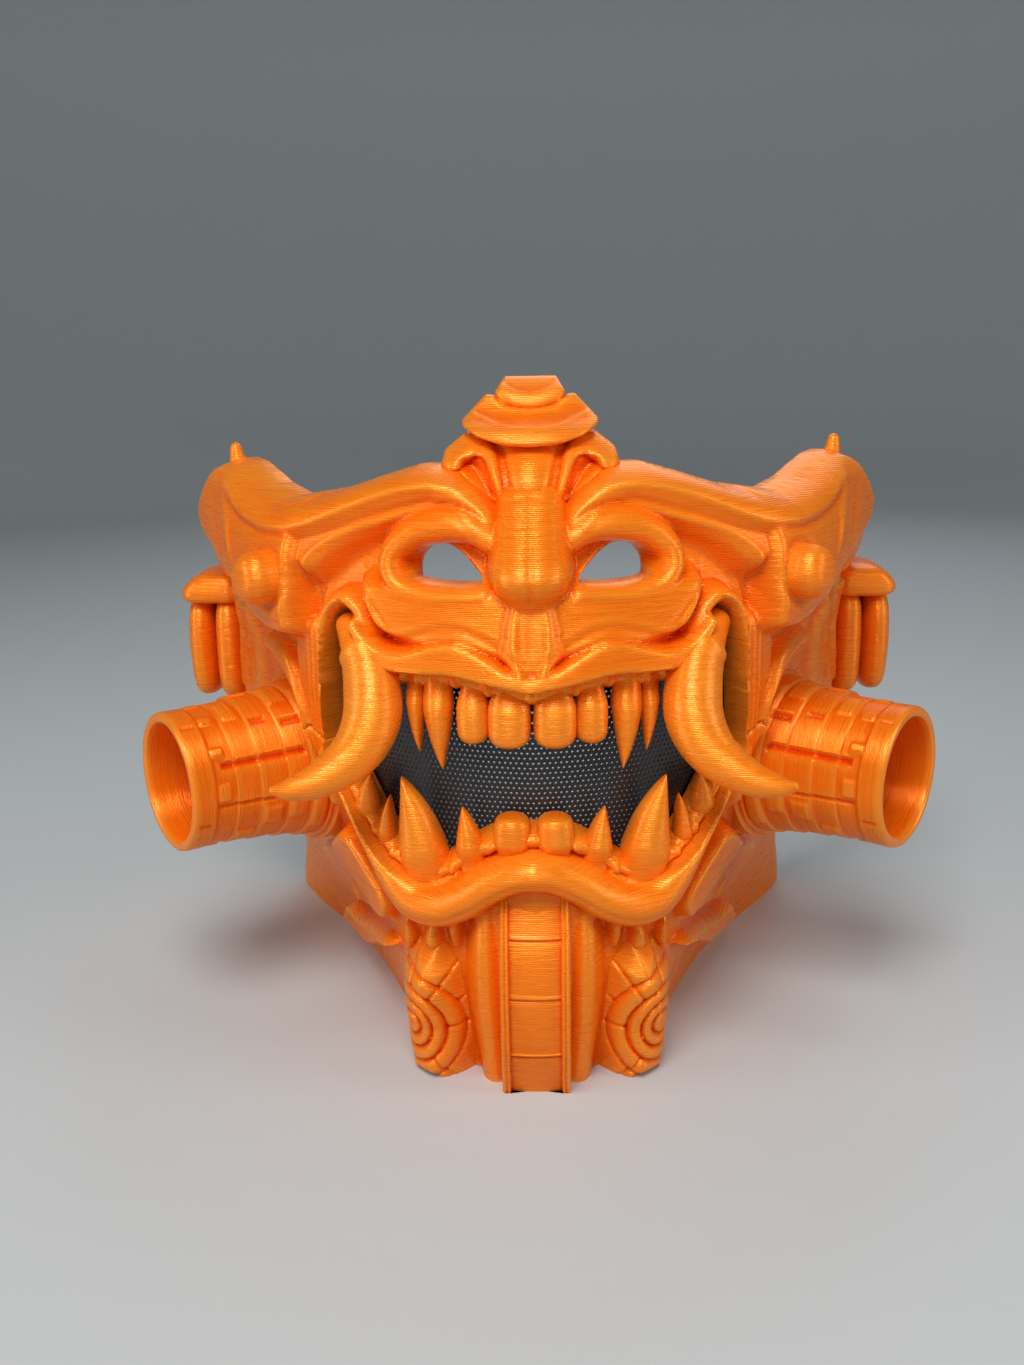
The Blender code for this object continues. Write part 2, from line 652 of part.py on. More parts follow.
def bolt(name, side):
    """A domed bolt head let into the shoulder."""
    place = unrolled(((BOLT_ANGLE, BOLT_SHARE),))
    angle = math.radians(BOLT_ANGLE)
    radius = base_radius(place[:, 0], place[:, 1]) + 0.62 * RELIEF
    point = to_space(place[:, 0], place[:, 1], radius)[0]
    dome = [(0, 0), (0, BOLT_RADIUS)]
    for turn in np.linspace(0, math.pi / 2, 5):
        dome.append((0.2 * BOLT_RADIUS + 0.8 * BOLT_RADIUS * math.sin(turn), BOLT_RADIUS * math.cos(turn)))
    dome[-1] = (BOLT_RADIUS, 0)
    axis = (side * math.sin(angle), -math.cos(angle), 0)
    return turned_solid(name, dome, (side * point[0], point[1], point[2]), axis)


def tusk(name, side):
    """A round tusk that curls down, forward and outward from its root in the cheek."""
    scale = (HEAD_RADIUS, HEAD_RADIUS, MASK_HEIGHT, TUSK_RADIUS)
    rows = curve_through(np.array(TUSK_PATH) * scale, steps=2)
    segments = 12
    rings = []
    tangents = np.gradient(rows[:, :3], axis=0)
    side_way = Vector((1, 0, 0))
    for row, tangent in zip(rows, tangents):
        tangent = Vector(tangent).normalized()
        side_way = (side_way - tangent * side_way.dot(tangent)).normalized()
        up = tangent.cross(side_way)
        turns = np.linspace(0, 2 * math.pi, segments, endpoint=False)
        rings.append(
            [Vector(row[:3]) + (side_way * math.cos(t) + up * math.sin(t)) * row[3] for t in turns]
        )
    body = lofted_solid(name, rings)
    if side < 0:
        mirror(body)
    return body


def crest_plate(name, rows):
    """One overlapping plate of the crest, lofted through flat sections."""
    rings = []
    turns = np.linspace(0, 2 * math.pi, 16, endpoint=False)
    for share, front, rear, half_width in rows:
        middle = (front + rear) / 2 * HEAD_RADIUS
        reach = (rear - front) / 2 * HEAD_RADIUS
        x = half_width * CREST_WIDTH / 2 * np.sign(np.cos(turns)) * np.abs(np.cos(turns)) ** 0.7
        y = middle + reach * np.sin(turns) + 0.35 * reach * (np.cos(turns) ** 2)
        rings.append(np.column_stack([x, y, np.full(len(turns), share * MASK_HEIGHT)]))
    return lofted_solid(name, rings)


def chin_band(name):
    """The ribbed strap over the chin: two rails beside a lower floor, and a flat foot at z = 0."""
    half = BAND_WIDTH / 2
    rails = ((-1.0, 0), (-0.78, 0), (-0.74, 1), (0.74, 1), (0.78, 0), (1.0, 0))
    rings = []
    for share, front in curve_through(BAND_PATH, steps=2):
        height = share * MASK_HEIGHT
        seat = HEAD_RADIUS - base_radius(np.zeros(1), np.array([height]))[0] + SEAT
        ring = [(x * half, front * HEAD_RADIUS + down * BAND_RAIL, height) for x, down in rails]
        rings.append(ring + [(half, seat, height), (-half, seat, height)])
    return lofted_solid(name, rings)


def pod_height(points):
    """Stepped dome of a chin pod above the base surface."""
    edge = depth_inside(points, unrolled(POD_EDGE))
    centre = unrolled((POD_CENTRE,))[0]
    away = np.linalg.norm((points - centre) * (1.0, 0.85), axis=1)
    dome = POD_HEIGHT * np.sqrt(flat_step(edge, 1.1 * POD_HEIGHT))
    steps = 0.10 * POD_HEIGHT * np.cos(away / (0.45 * POD_HEIGHT) * math.pi)
    return dome + steps * flat_step(edge, 0.3 * POD_HEIGHT)


def guard_height(points):
    """Cap and two upright lobes of an ear guard above the base surface."""
    edge = depth_inside(points, unrolled(GUARD_EDGE))
    height = 0.45 * GUARD_HEIGHT * flat_step(edge, 0.1 * GUARD_HEIGHT)
    for rows in GUARD_LOBES:
        curve = unrolled(rows)
        distance, sizes = nearest_on(points, curve)
        share = np.clip(distance / (sizes[:, 0] * RELIEF), 0, 1)
        height = np.maximum(height, sizes[:, 1] * GUARD_HEIGHT * (1 - share**2) ** 0.35)
    return height


def applied_piece(name, edge, height, cell):
    """A piece drawn on the right half that sits in a shallow seat of the base surface."""
    outline = unrolled(edge)
    low = np.array([outline[:, 0].min() - cell, max(0.0, outline[:, 1].min() - cell)])
    high = outline.max(axis=0)[:2] + cell

    def front(points):
        return base_radius(points[:, 0], points[:, 1]) + height(points)

    def back(points):
        return base_radius(points[:, 0], points[:, 1]) - SEAT

    return wall_solid(name, outline_region(edge), low, high, cell, front, back)


def mirrored_copy(obj, name):
    """The same piece on the other side of the face."""
    copy = obj.copy()
    copy.data = obj.data.copy()
    copy.name = name
    bpy.context.scene.collection.objects.link(copy)
    mirror(copy)
    return copy


def teeth(name, rows, gum, keep):
    """A row of teeth with the gum that joins them, whose back lies against the screen."""
    reach = math.radians(gum[2]) * UNROLL + CELL
    ends = [row[1] for row in rows] + [row[3] for row in rows] + list(gum[:2])
    low = np.array([-reach, (min(ends) - 0.01) * MASK_HEIGHT])
    high = np.array([reach, (max(ends) + 0.01) * MASK_HEIGHT])
    rise = teeth_height(rows, gum)

    def front(points):
        return base_radius(points[:, 0], points[:, 1]) + rise(points) - 0.15 * TOOTH_DEPTH

    body = wall_solid(name, teeth_region(rows, gum), low, high, 0.5 * CELL, front, back_radius)
    thinned(body, keep)
    return body


def back_radius(points):
    """Radius of the shell's smooth inner surface."""
    return base_radius(points[:, 0], points[:, 1]) - WALL


def screen(name):
    """The plain sheet behind the mouth, close against the back of the shell."""
    outline = both_sides(SCREEN_EDGE)

    def front(points):
        return back_radius(points) - EDGE_GAP

    def back(points):
        return front(points) - SCREEN_WALL

    def region(points):
        return depth_inside(points, outline)

    low, high = outline.min(axis=0) - CELL, outline.max(axis=0) + CELL
    return wall_solid(name, region, low, high, 4.5 * CELL, front, back)


def face_shell(name):
    """The relief face, a wall with a smooth back, its mouth and its nostrils open."""
    half = math.radians(120) * UNROLL

    def front(points):
        return base_radius(points[:, 0], points[:, 1]) + relief(points)

    body = wall_solid(name, shell_region, (-half, 0.0), (half, MASK_HEIGHT), CELL, front, back_radius)
    thinned(body, SHELL_KEEP)
    for vert in body.data.vertices:
        if abs(vert.co.z) < GAP:
            vert.co.z = 0.0
    return body


def material(name, colour, roughness):
    """A plain Principled material."""
    made = bpy.data.materials.new(name)
    made.use_nodes = True
    shader = made.node_tree.nodes["Principled BSDF"]
    shader.inputs["Base Color"].default_value = colour
    shader.inputs["Roughness"].default_value = roughness
    return made


def centre_depth(pieces):
    """Moves every piece so that the whole object's depth is centred on y = 0."""
    ys = [v.co.y for piece in pieces for v in piece.data.vertices]
    shift = -(min(ys) + max(ys)) / 2
    for piece in pieces:
        for vert in piece.data.vertices:
            vert.co.y += shift


def build():
    """Makes every sub-part, cuts the seats in the shell and sets the materials."""
    for obj in list(bpy.data.objects):
        bpy.data.objects.remove(obj)
    shell = face_shell("face_shell")
    crest = [
        crest_plate("crest_low", CREST_LOW),
        crest_plate("crest_mid", CREST_MID),
        crest_plate("crest_top", CREST_TOP),
    ]
    subtract(crest[1], [grown_copy(crest[2], GAP)])
    subtract(crest[0], [grown_copy(crest[1], GAP)])
    uppers = teeth("teeth_upper", UPPER_TEETH, UPPER_GUM, 0.16)
    lowers = teeth("teeth_lower", LOWER_TEETH, LOWER_GUM, 0.16)
    mesh = screen("mesh_screen")
    band = chin_band("chin_band")
    pieces = crest + [band]
    clearances = [grown_copy(piece, GAP) for piece in pieces]
    pieces += [uppers, lowers, mesh]
    for side, word in ((-1, "left"), (1, "right")):
        pieces.append(tusk("tusk_" + word, side))
        pieces.append(bolt("cheek_bolt_" + word, side))
        clearances += [grown_copy(piece, GAP) for piece in pieces[-2:]]
        pieces.append(canister("canister_" + word, side))
        clearances.append(canister("clearance", side, GAP))
    pod = applied_piece("chin_pod_right", POD_EDGE, pod_height, 0.9 * CELL)
    thinned(pod, 0.35)
    guard = applied_piece("ear_guard_right", GUARD_EDGE, guard_height, CELL)
    thinned(guard, 0.4)
    for piece, name in ((pod, "chin_pod_left"), (guard, "ear_guard_left")):
        pieces += [piece, mirrored_copy(piece, name)]
        clearances += [grown_copy(each, GAP) for each in pieces[-2:]]
    subtract(shell, clearances)
    pieces.append(shell)
    orange = material("printed_orange", PRINT_ORANGE, 0.32)
    black = material("screen_black", SCREEN_BLACK, 0.5)
    for piece in pieces:
        piece.data.materials.clear()
        piece.data.materials.append(black if piece is mesh else orange)
        print(piece.name, len(piece.data.polygons))
    centre_depth(pieces)


build()
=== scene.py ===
"""The looks of an oni half mask: a printed face shell with crest, tusks, teeth and canisters.

The face is drawn on a curved base. A place on it is an unrolled point (u, v): u runs along the
face from the middle, v runs up. A surface is a radius about an upright axis at each such place.
Angles in the tables are degrees from the front, and heights and widths there are millimetres.
"""

import sys  # noqa: E702
import logging  # noqa: E402
import math  # noqa: E402
from dataclasses import dataclass  # noqa: E402
from enum import Enum  # noqa: E402
from typing import Callable, Sequence  # noqa: E402

import bmesh  # noqa: E402
import bpy  # noqa: E402
import numpy as np  # noqa: E402
from mathutils import Matrix, Vector  # noqa: E402


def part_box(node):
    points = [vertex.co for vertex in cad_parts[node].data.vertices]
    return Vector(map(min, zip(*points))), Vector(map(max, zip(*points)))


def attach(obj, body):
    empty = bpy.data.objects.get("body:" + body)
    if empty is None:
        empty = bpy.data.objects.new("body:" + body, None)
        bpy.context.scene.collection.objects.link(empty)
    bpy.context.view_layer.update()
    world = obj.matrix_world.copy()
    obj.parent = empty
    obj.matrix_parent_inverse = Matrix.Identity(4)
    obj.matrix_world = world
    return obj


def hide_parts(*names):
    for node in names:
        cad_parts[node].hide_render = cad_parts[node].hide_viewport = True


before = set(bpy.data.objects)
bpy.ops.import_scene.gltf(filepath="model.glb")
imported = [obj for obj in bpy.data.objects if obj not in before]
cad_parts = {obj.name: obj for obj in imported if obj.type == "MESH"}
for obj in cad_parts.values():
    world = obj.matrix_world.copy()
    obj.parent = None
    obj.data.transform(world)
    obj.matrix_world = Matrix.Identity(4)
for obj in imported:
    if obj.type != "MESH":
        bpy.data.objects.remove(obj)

LOG = logging.getLogger("oni_mask")
MM = 0.001
TINY = 1e-6
MM_PER_DEGREE = 1.553
UP = (0, 0, 1)

Array = np.ndarray
Rows = Sequence[Sequence[float]]
PlaceFunction = Callable[[Array], Array]


class Side(Enum):
    """The two sides of the face, as the sign of x."""

    LEFT = -1
    RIGHT = 1


class Blend(Enum):
    """How a stroke joins the relief under it."""

    ROLL = "round roll that covers what is lower"
    BROAD = "roll with a flatter top and steeper sides"
    LINE = "thin ridge, or groove, added to what is there"


def smooth_rows(knots: Array, values: Array, wanted: Array) -> Array:
    """Values at the wanted places, by a smooth cubic curve through rows of values.

    Between two knots the curve is the cubic that has the rows' values and mean slopes there.

    Args:
        knots: rising places of the rows.
        values: one row for each knot.
        wanted: places to work out, held inside the knots.

    Returns:
        One row for each wanted place.
    """
    knots = np.asarray(knots, float)
    values = np.asarray(values, float)
    wanted = np.clip(wanted, knots[0], knots[-1])
    slopes = np.gradient(values, knots, axis=0)
    i = np.clip(np.searchsorted(knots, wanted, side="right") - 1, 0, len(knots) - 2)
    step = knots[i + 1] - knots[i]
    t = (wanted - knots[i]) / step
    t, step = (a.reshape(a.shape + (1,) * (values.ndim - 1)) for a in (t, step))
    rise = t * t * (3 - 2 * t)
    start = values[i] * (1 - rise) + step * slopes[i] * t * (1 - t) ** 2
    return start + values[i + 1] * rise - step * slopes[i + 1] * t * t * (1 - t)


def resampled(rows: Rows, count: int) -> Array:
    """That many rows, evenly spread along a smooth curve through the given rows."""
    rows = np.asarray(rows, float)
    return smooth_rows(np.arange(len(rows)), rows, np.linspace(0, len(rows) - 1, count))


def curve_through(rows: Rows, steps: int = 7) -> Array:
    """A smooth curve through the rows, with the given number of steps between two rows."""
    return resampled(rows, (len(rows) - 1) * steps + 1)


def full_turn(count: int) -> Array:
    """Angles in radians, evenly spread round a circle."""
    return np.linspace(0, 2 * math.pi, count, endpoint=False)


def grid_lines(low: float, high: float, cell: float) -> Array:
    """Evenly spaced grid lines from low to high, about a cell apart."""
    return np.linspace(low, high, int((high - low) / cell) + 1)


def closed_by_mirror(half: Array) -> Array:
    """A right half outline, from its top to its foot on the middle line, with its mirror image."""
    return np.vstack([half, half[::-1][1:-1] * (-1, 1)])


def ease(value: Array, width: float) -> Array:
    """0 below zero, rising by 3t^2 - 2t^3 to 1 at the width."""
    t = np.clip(value / width, 0, 1)
    return t * t * (3 - 2 * t)


def bell(value: Array, centre: float, width: float) -> Array:
    """exp(-((value - centre) / width)^2): 1 at the centre, close to 0 two widths away."""
    return np.exp(-(((value - centre) / width) ** 2))


def nearest_on(points: Array, curve: Array, reach: float = np.inf) -> tuple[Array, Array]:
    """Distance of each point to a chain of rows, and the chain's other columns there.

    Args:
        points: places, one row each.
        curve: rows whose first two columns are places.
        reach: points further than this from the chain's box keep an endless distance.

    Returns:
        The distances and the other columns where the chain is nearest.
    """
    best = np.full(len(points), np.inf)
    extras = np.zeros((len(points), curve.shape[1] - 2))
    for start, end in zip(curve[:-1], curve[1:]):
        low = np.minimum(start[:2], end[:2]) - reach
        high = np.maximum(start[:2], end[:2]) + reach
        if np.isfinite(reach):
            near = np.flatnonzero(((points >= low) & (points <= high)).all(axis=1))
        else:
            near = np.arange(len(points))
        if len(near) == 0:
            continue
        along = end[:2] - start[:2]
        offset = points[near] - start[:2]
        t = np.clip(offset @ along / max(along @ along, 1e-18), 0, 1)
        distance = np.hypot(*(offset - t[:, None] * along).T)
        closer = distance < best[near]
        found = near[closer]
        best[found] = distance[closer]
        extras[found] = (start[2:] + t[:, None] * (end[2:] - start[2:]))[closer]
    return best, extras


def rounded(outline: Array, cut: float) -> Array:
    """A closed outline with each corner cut off twice, at most that far from the corner."""
    for step in (cut, 0.35 * cut):
        ahead = np.roll(outline, -1, axis=0) - outline
        share = np.minimum(0.25, step / np.linalg.norm(ahead, axis=1))[:, None]
        pairs = [outline + share * ahead, outline + (1 - share) * ahead]
        outline = np.stack(pairs, axis=1).reshape(-1, 2)
    return outline


def softened(values: Array, faces: Array, rounds: int) -> Array:
    """Values at the points of triangles, averaged with their neighbours a number of times."""
    ahead = faces[:, [1, 2, 0]]
    ends = np.concatenate([faces.ravel(), ahead.ravel()])
    others = np.concatenate([ahead.ravel(), faces.ravel()])
    degree = np.bincount(ends, minlength=len(values))
    for _ in range(rounds):
        values = 0.5 * (values + np.bincount(ends, values[others], len(values)) / degree)
    return values


def depth_inside(points: Array, outline: Array, reach: float = np.inf) -> Array:
    """How far each point is inside a closed outline, negative outside, endless past the reach."""
    loop = np.vstack([outline, outline[:1]])
    distance = nearest_on(points, loop, reach)[0]
    inside = np.zeros(len(points), bool)
    for (x0, y0), (x1, y1) in zip(loop[:-1], loop[1:]):
        if y0 == y1:
            continue
        crosses = (y0 > points[:, 1]) != (y1 > points[:, 1])
        inside ^= crosses & (points[:, 0] < x0 + (points[:, 1] - y0) * (x1 - x0) / (y1 - y0))
    return np.where(inside, distance, -distance)


@dataclass(frozen=True)
class HeadForm:
    """The curved base of the face, the same as the solids are built on."""

    height: float = 0.168
    head_radius: float = 0.090
    unroll: float = 0.089
    wall: float = 0.0038
    band_front: float = -0.074
    angles: tuple[float, ...] = (0, 20, 40, 60, 80, 100, 120)
    rows: tuple[tuple[float, ...], ...] = (
        (0.00, 0.96, 0.81, 0.63, 0.56, 0.58, 0.72, 1.06),
        (0.18, 1.00, 0.91, 0.72, 0.65, 0.68, 0.80, 1.03),
        (0.36, 0.97, 0.93, 0.83, 0.76, 0.81, 0.98, 1.14),
        (0.60, 0.96, 0.92, 0.89, 0.84, 0.87, 1.01, 1.15),
        (0.76, 0.87, 0.86, 0.89, 0.89, 0.94, 1.08, 1.18),
        (0.89, 0.71, 0.74, 0.77, 0.82, 0.91, 1.07, 1.13),
        (1.01, 0.58, 0.61, 0.68, 0.76, 0.87, 1.04, 1.11),
    )

    @property
    def axis_y(self) -> float:
        """Depth of the upright axis in the frame, from where the chin band's front lies."""
        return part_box("chin_band")[0].y - (self.band_front - 1.0) * self.head_radius

    @property
    def origin_y(self) -> float:
        """Depth in the frame of the drawings' own zero, at the front of the base circle."""
        return self.axis_y - self.head_radius

    @property
    def drawing_shift(self) -> tuple[float, float, float]:
        """What is added to a place in the drawings, in metres, to get it in the frame."""
        return (0.0, self.origin_y, 0.0)

    def radius(self, points: Array) -> Array:
        """Radius of the base at unrolled points, smooth across angles and heights."""
        rows = np.array(self.rows)
        angle = np.abs(np.degrees(points[:, 0] / self.unroll))
        by_angle = smooth_rows(np.array(self.angles), rows[:, 1:].T, angle)
        heights = rows[:, 0] * self.height
        slopes = np.gradient(by_angle, heights, axis=1)
        place = np.clip(points[:, 1], heights[0], heights[-1])
        i = np.clip(np.searchsorted(heights, place, side="right") - 1, 0, len(heights) - 2)
        step = heights[i + 1] - heights[i]
        t = (place - heights[i]) / step
        rise = t * t * (3 - 2 * t)
        each = np.arange(len(i))
        low, high = by_angle[each, i], by_angle[each, i + 1]
        bend = step * (slopes[each, i] * t * (1 - t) ** 2 - slopes[each, i + 1] * t * t * (1 - t))
        return (low * (1 - rise) + high * rise + bend) * self.head_radius

    def back(self, points: Array) -> Array:
        """Radius of the smooth inner side of the wall."""
        return self.radius(points) - self.wall

    def to_space(self, points: Array, radius: Array) -> Array:
        """Points in the frame: (r sin a, axis - r cos a, v), with a the angle u / unroll."""
        angle = points[:, 0] / self.unroll
        x, y = radius * np.sin(angle), self.axis_y - radius * np.cos(angle)
        return np.column_stack([x, y, points[:, 1]])

    def places(self, rows: Rows) -> Array:
        """Rows with their degrees and millimetres turned into unrolled metres."""
        rows = np.array(rows, float)
        rows[:, 0] = np.radians(rows[:, 0]) * self.unroll
        rows[:, 1:] *= MM
        return rows

    def clamp_outside(self, points: Array, below: float) -> Array:
        """Space points moved out so that none lies deeper than that far below the base."""
        x, y = points[:, 0], points[:, 1] - self.axis_y
        angle = np.arctan2(x, -y)
        away = np.hypot(x, y)
        place = np.column_stack([angle * self.unroll, points[:, 2]])
        least = self.radius(place) - below
        grow = np.where(away < least, least / np.maximum(away, 1e-9), 1.0)
        return np.column_stack([x * grow, self.axis_y + y * grow, points[:, 2]])


@dataclass(frozen=True)
class Mass:
    """A raised area: an outline of (degrees, mm), its height, soft edge and corner cut in mm."""

    outline: Rows
    height: float
    edge: float
    corner: float = 6.0

    def lift(self, head: HeadForm, points: Array) -> Array:
        """Height above the base: the mass's height times an ease over its edge width."""
        outline = rounded(head.places(self.outline)[:, :2], self.corner * MM)
        inside = depth_inside(points, outline, self.edge * MM)
        return self.height * MM * ease(inside, self.edge * MM)


@dataclass(frozen=True)
class Stroke:
    """A roll or a line along rows of (degrees, mm, half width in mm, height in mm)."""

    rows: Rows
    blend: Blend = Blend.LINE

    def lift(self, head: HeadForm, points: Array) -> Array:
        """Height of the stroke at unrolled points."""
        return stroke_height(points, curve_through(head.places(self.rows)), self.blend)


def stroke_height(points: Array, curve: Array, blend: Blend) -> Array:
    """Height of a stroke at points, above what is under it.

    With s the distance from its middle over its half width, a roll is h sqrt(1 - s^2), a
    broad roll is h sqrt(1 - s^3) and a line is h (1 - s^2)^2.

    Args:
        points: places, one row each.
        curve: rows of two coordinates, half width and height h.
        blend: the kind of stroke.

    Returns:
        The height at each point, zero outside the stroke.
    """
    distance, sizes = nearest_on(points, curve, float(curve[:, 2].max()))
    width = np.maximum(sizes[:, 0], TINY)
    share = np.clip(np.where(np.isfinite(distance), distance / width, 1.0), 0, 1)
    if blend is Blend.ROLL:
        return sizes[:, 1] * np.sqrt(1 - share**2)
    if blend is Blend.BROAD:
        return sizes[:, 1] * np.sqrt(1 - share**3)
    return sizes[:, 1] * (1 - share**2) ** 2


def index_pairs(rows: int, columns: int) -> tuple[Array, Array]:
    """The row and the column of every cell of a table, row by row."""
    i, j = np.meshgrid(np.arange(rows), np.arange(columns), indexing="ij")
    return i.ravel(), j.ravel()


def clipped_sheet(region: PlaceFunction, us: Array, vs: Array) -> tuple[Array, Array]:
    """The part of a plane grid where a region's depth is positive, as points and triangles.

    Grid points close to the edge are moved onto it along the depth's slope, and triangles that
    cross the edge are cut where the depth, taken as straight along each side, is zero.

    Args:
        region: depth inside the region at places.
        us: rising grid lines across.
        vs: rising grid lines up.

    Returns:
        Places, and triangles as rows of three indices, turning left.
    """
    across, up = len(us), len(vs)
    grid = np.stack(np.meshgrid(us, vs, indexing="ij"), -1).reshape(-1, 2)
    cell = np.minimum(np.gradient(us)[:, None], np.gradient(vs)[None, :]).ravel()
    inner = np.zeros((across, up), bool)
    inner[1:-1, 1:-1] = True
    depth = region(grid)
    for _ in range(2):
        near = np.flatnonzero((np.abs(depth) < 0.4 * cell) & inner.ravel())
        probe = 0.05 * cell[near]
        slope = np.empty((len(near), 2))
        for k in (0, 1):
            moved = grid[near].copy()
            moved[:, k] += probe
            slope[:, k] = (region(moved) - depth[near]) / probe
        size = np.maximum((slope**2).sum(axis=1), 0.2)
        grid[near] -= slope * (depth[near] / size)[:, None]
        depth[near] = region(grid[near])
    depth[np.abs(depth) < 0.06 * cell] = 0.0

    i, j = index_pairs(across - 1, up - 1)
    a = i * up + j
    corners = np.column_stack([a, a + up, a + up + 1, a + 1])
    even = (i + j) % 2 == 0
    triples = np.vstack([
        corners[even][:, [0, 1, 3]], corners[even][:, [1, 2, 3]],
        corners[~even][:, [0, 1, 2]], corners[~even][:, [0, 2, 3]],
    ])  # fmt: skip
    triples = triples[depth[triples].max(axis=1) > 0]
    outside = depth[triples] < 0
    count = outside.sum(axis=1)
    whole = triples[count == 0]
    one_out = triples[count == 1]
    turn = (np.argmax(outside[count == 1], axis=1)[:, None] + np.array([1, 2, 0])) % 3
    one_out = np.take_along_axis(one_out, turn, axis=1)
    one_in = triples[count == 2]
    turn = (np.argmin(outside[count == 2], axis=1)[:, None] + np.array([0, 1, 2])) % 3
    one_in = np.take_along_axis(one_in, turn, axis=1)

    ends = [one_out[:, [1, 2]], one_out[:, [0, 2]], one_in[:, [0, 1]], one_in[:, [0, 2]]]
    sides = np.vstack(ends)
    key = sides[:, 0] * len(grid) + sides[:, 1]
    kept, first, where = np.unique(key, return_index=True, return_inverse=True)
    inside_end, outside_end = sides[first, 0], sides[first, 1]
    t = depth[inside_end] / (depth[inside_end] - depth[outside_end])
    cuts = grid[inside_end] + t[:, None] * (grid[outside_end] - grid[inside_end])
    index = np.where(depth[inside_end] == 0, inside_end, len(grid) + np.arange(len(kept)))[where]
    n, m = len(one_out), len(one_in)
    bc, ca, ab, ac = np.split(index, [n, 2 * n, 2 * n + m])
    faces = np.vstack([
        whole,
        np.column_stack([one_out[:, 0], one_out[:, 1], bc]),
        np.column_stack([one_out[:, 0], bc, ca]),
        np.column_stack([one_in[:, 0], ab, ac]),
    ])  # fmt: skip
    a, b, c = faces.T
    faces = faces[(a != b) & (b != c) & (a != c)]
    used, faces = np.unique(faces, return_inverse=True)
    return np.vstack([grid, cuts])[used], faces.reshape(-1, 3)


def open_edges(faces: Array, count: int) -> Array:
    """The directed edges of triangles that no other triangle runs back along."""
    edges = np.vstack([faces[:, [0, 1]], faces[:, [1, 2]], faces[:, [2, 0]]])
    forth = edges[:, 0].astype(np.int64) * count + edges[:, 1]
    back = edges[:, 1].astype(np.int64) * count + edges[:, 0]
    return edges[~np.isin(forth, back)]


def graded_lines(low: float, high: float, fine: float, coarse: float, limit: float) -> Array:
    """Grid lines that are fine apart inside plus or minus the limit, and coarse outside it."""
    inner = np.linspace(-limit, limit, int(round(2 * limit / fine)) + 1)
    outer = np.linspace(limit, high, max(2, int(round((high - limit) / coarse)) + 1))[1:]
    other = np.linspace(low, -limit, max(2, int(round((-limit - low) / coarse)) + 1))[:-1]
    return np.concatenate([other, inner, outer])


def mesh_object(name: str, points: Array, faces: list) -> bpy.types.Object:
    """A new object of the points and faces, in the scene's own collection."""
    mesh = bpy.data.meshes.new(name)
    mesh.from_pydata(np.asarray(points).tolist(), [], faces)
    mesh.update()
    obj = bpy.data.objects.new(name, mesh)
    bpy.context.scene.collection.objects.link(obj)
    return obj


def merged(obj: bpy.types.Object, distance: float = 2e-6) -> bpy.types.Object:
    """Joins the object's doubled points and drops the faces that have no area."""
    work = bmesh.new()
    work.from_mesh(obj.data)
    bmesh.ops.remove_doubles(work, verts=work.verts, dist=distance)
    bmesh.ops.dissolve_degenerate(work, dist=distance, edges=work.edges)
    loose = [v for v in work.verts if not v.link_faces]
    bmesh.ops.delete(work, geom=loose, context="VERTS")
    work.to_mesh(obj.data)
    work.free()
    return obj


def smooth_with_edges(obj: bpy.types.Object, degrees: float) -> None:
    """Shades the object smooth, but keeps edges sharper than the angle hard."""
    obj.data.shade_smooth()
    obj.data.set_sharp_from_angle(angle=math.radians(degrees))


@dataclass(frozen=True)
class Sheet:
    """A closed wall over a region, between a front and a back radius."""

    space: Callable[[Array, Array], Array]
    region: PlaceFunction
    front: PlaceFunction
    back: PlaceFunction
    rim: float = 0.0
    soft: int = 0
    least_rim: float = 0.25 * MM

    def build(self, name: str, us: Array, vs: Array, inner_keep: float = 1.0) -> bpy.types.Object:
        """Makes the wall: both sheets on the same places, joined all round the edge.

        A rim of width w rounds the edge: at depth d inside it the front sinks by
        w (1 - sqrt(1 - ((w - d) / w)^2)), and the back rises by as much.

        Args:
            name: the piece's name.
            us: grid lines across.
            vs: grid lines up.
            inner_keep: share of the inner sheet's triangles that is kept.

        Returns:
            The piece, smooth but for its edges.
        """
        places, faces = clipped_sheet(self.region, us, vs)
        front, back = self.front(places), self.back(places)
        sides = open_edges(faces, len(places))
        border = np.isin(np.arange(len(places)), sides)
        front = np.where(border, front, softened(front, faces, self.soft))
        if self.rim > 0:
            share = np.clip(1 - self.region(places) / self.rim, 0, 1)
            sink = self.rim * (1 - np.sqrt(1 - share**2))
            room = np.maximum(front - back - 2 * sink, self.least_rim)
            middle = 0.5 * (front + back)
            front = np.where(share > 0, np.minimum(front, middle + 0.5 * room), front)
            back = np.where(share > 0, np.maximum(back, middle - 0.5 * room), back)
        count = len(places)
        points = np.vstack([self.space(places, front), self.space(places, back)])
        a, b = sides.T
        rim_faces = np.column_stack([b, a, a + count, b + count])
        inner_faces = faces[:, ::-1] + count
        obj = mesh_object(name, points, faces.tolist() + inner_faces.tolist() + rim_faces.tolist())
        if inner_keep < 1:
            thin_inner(obj, count, sides, inner_keep)
        return obj


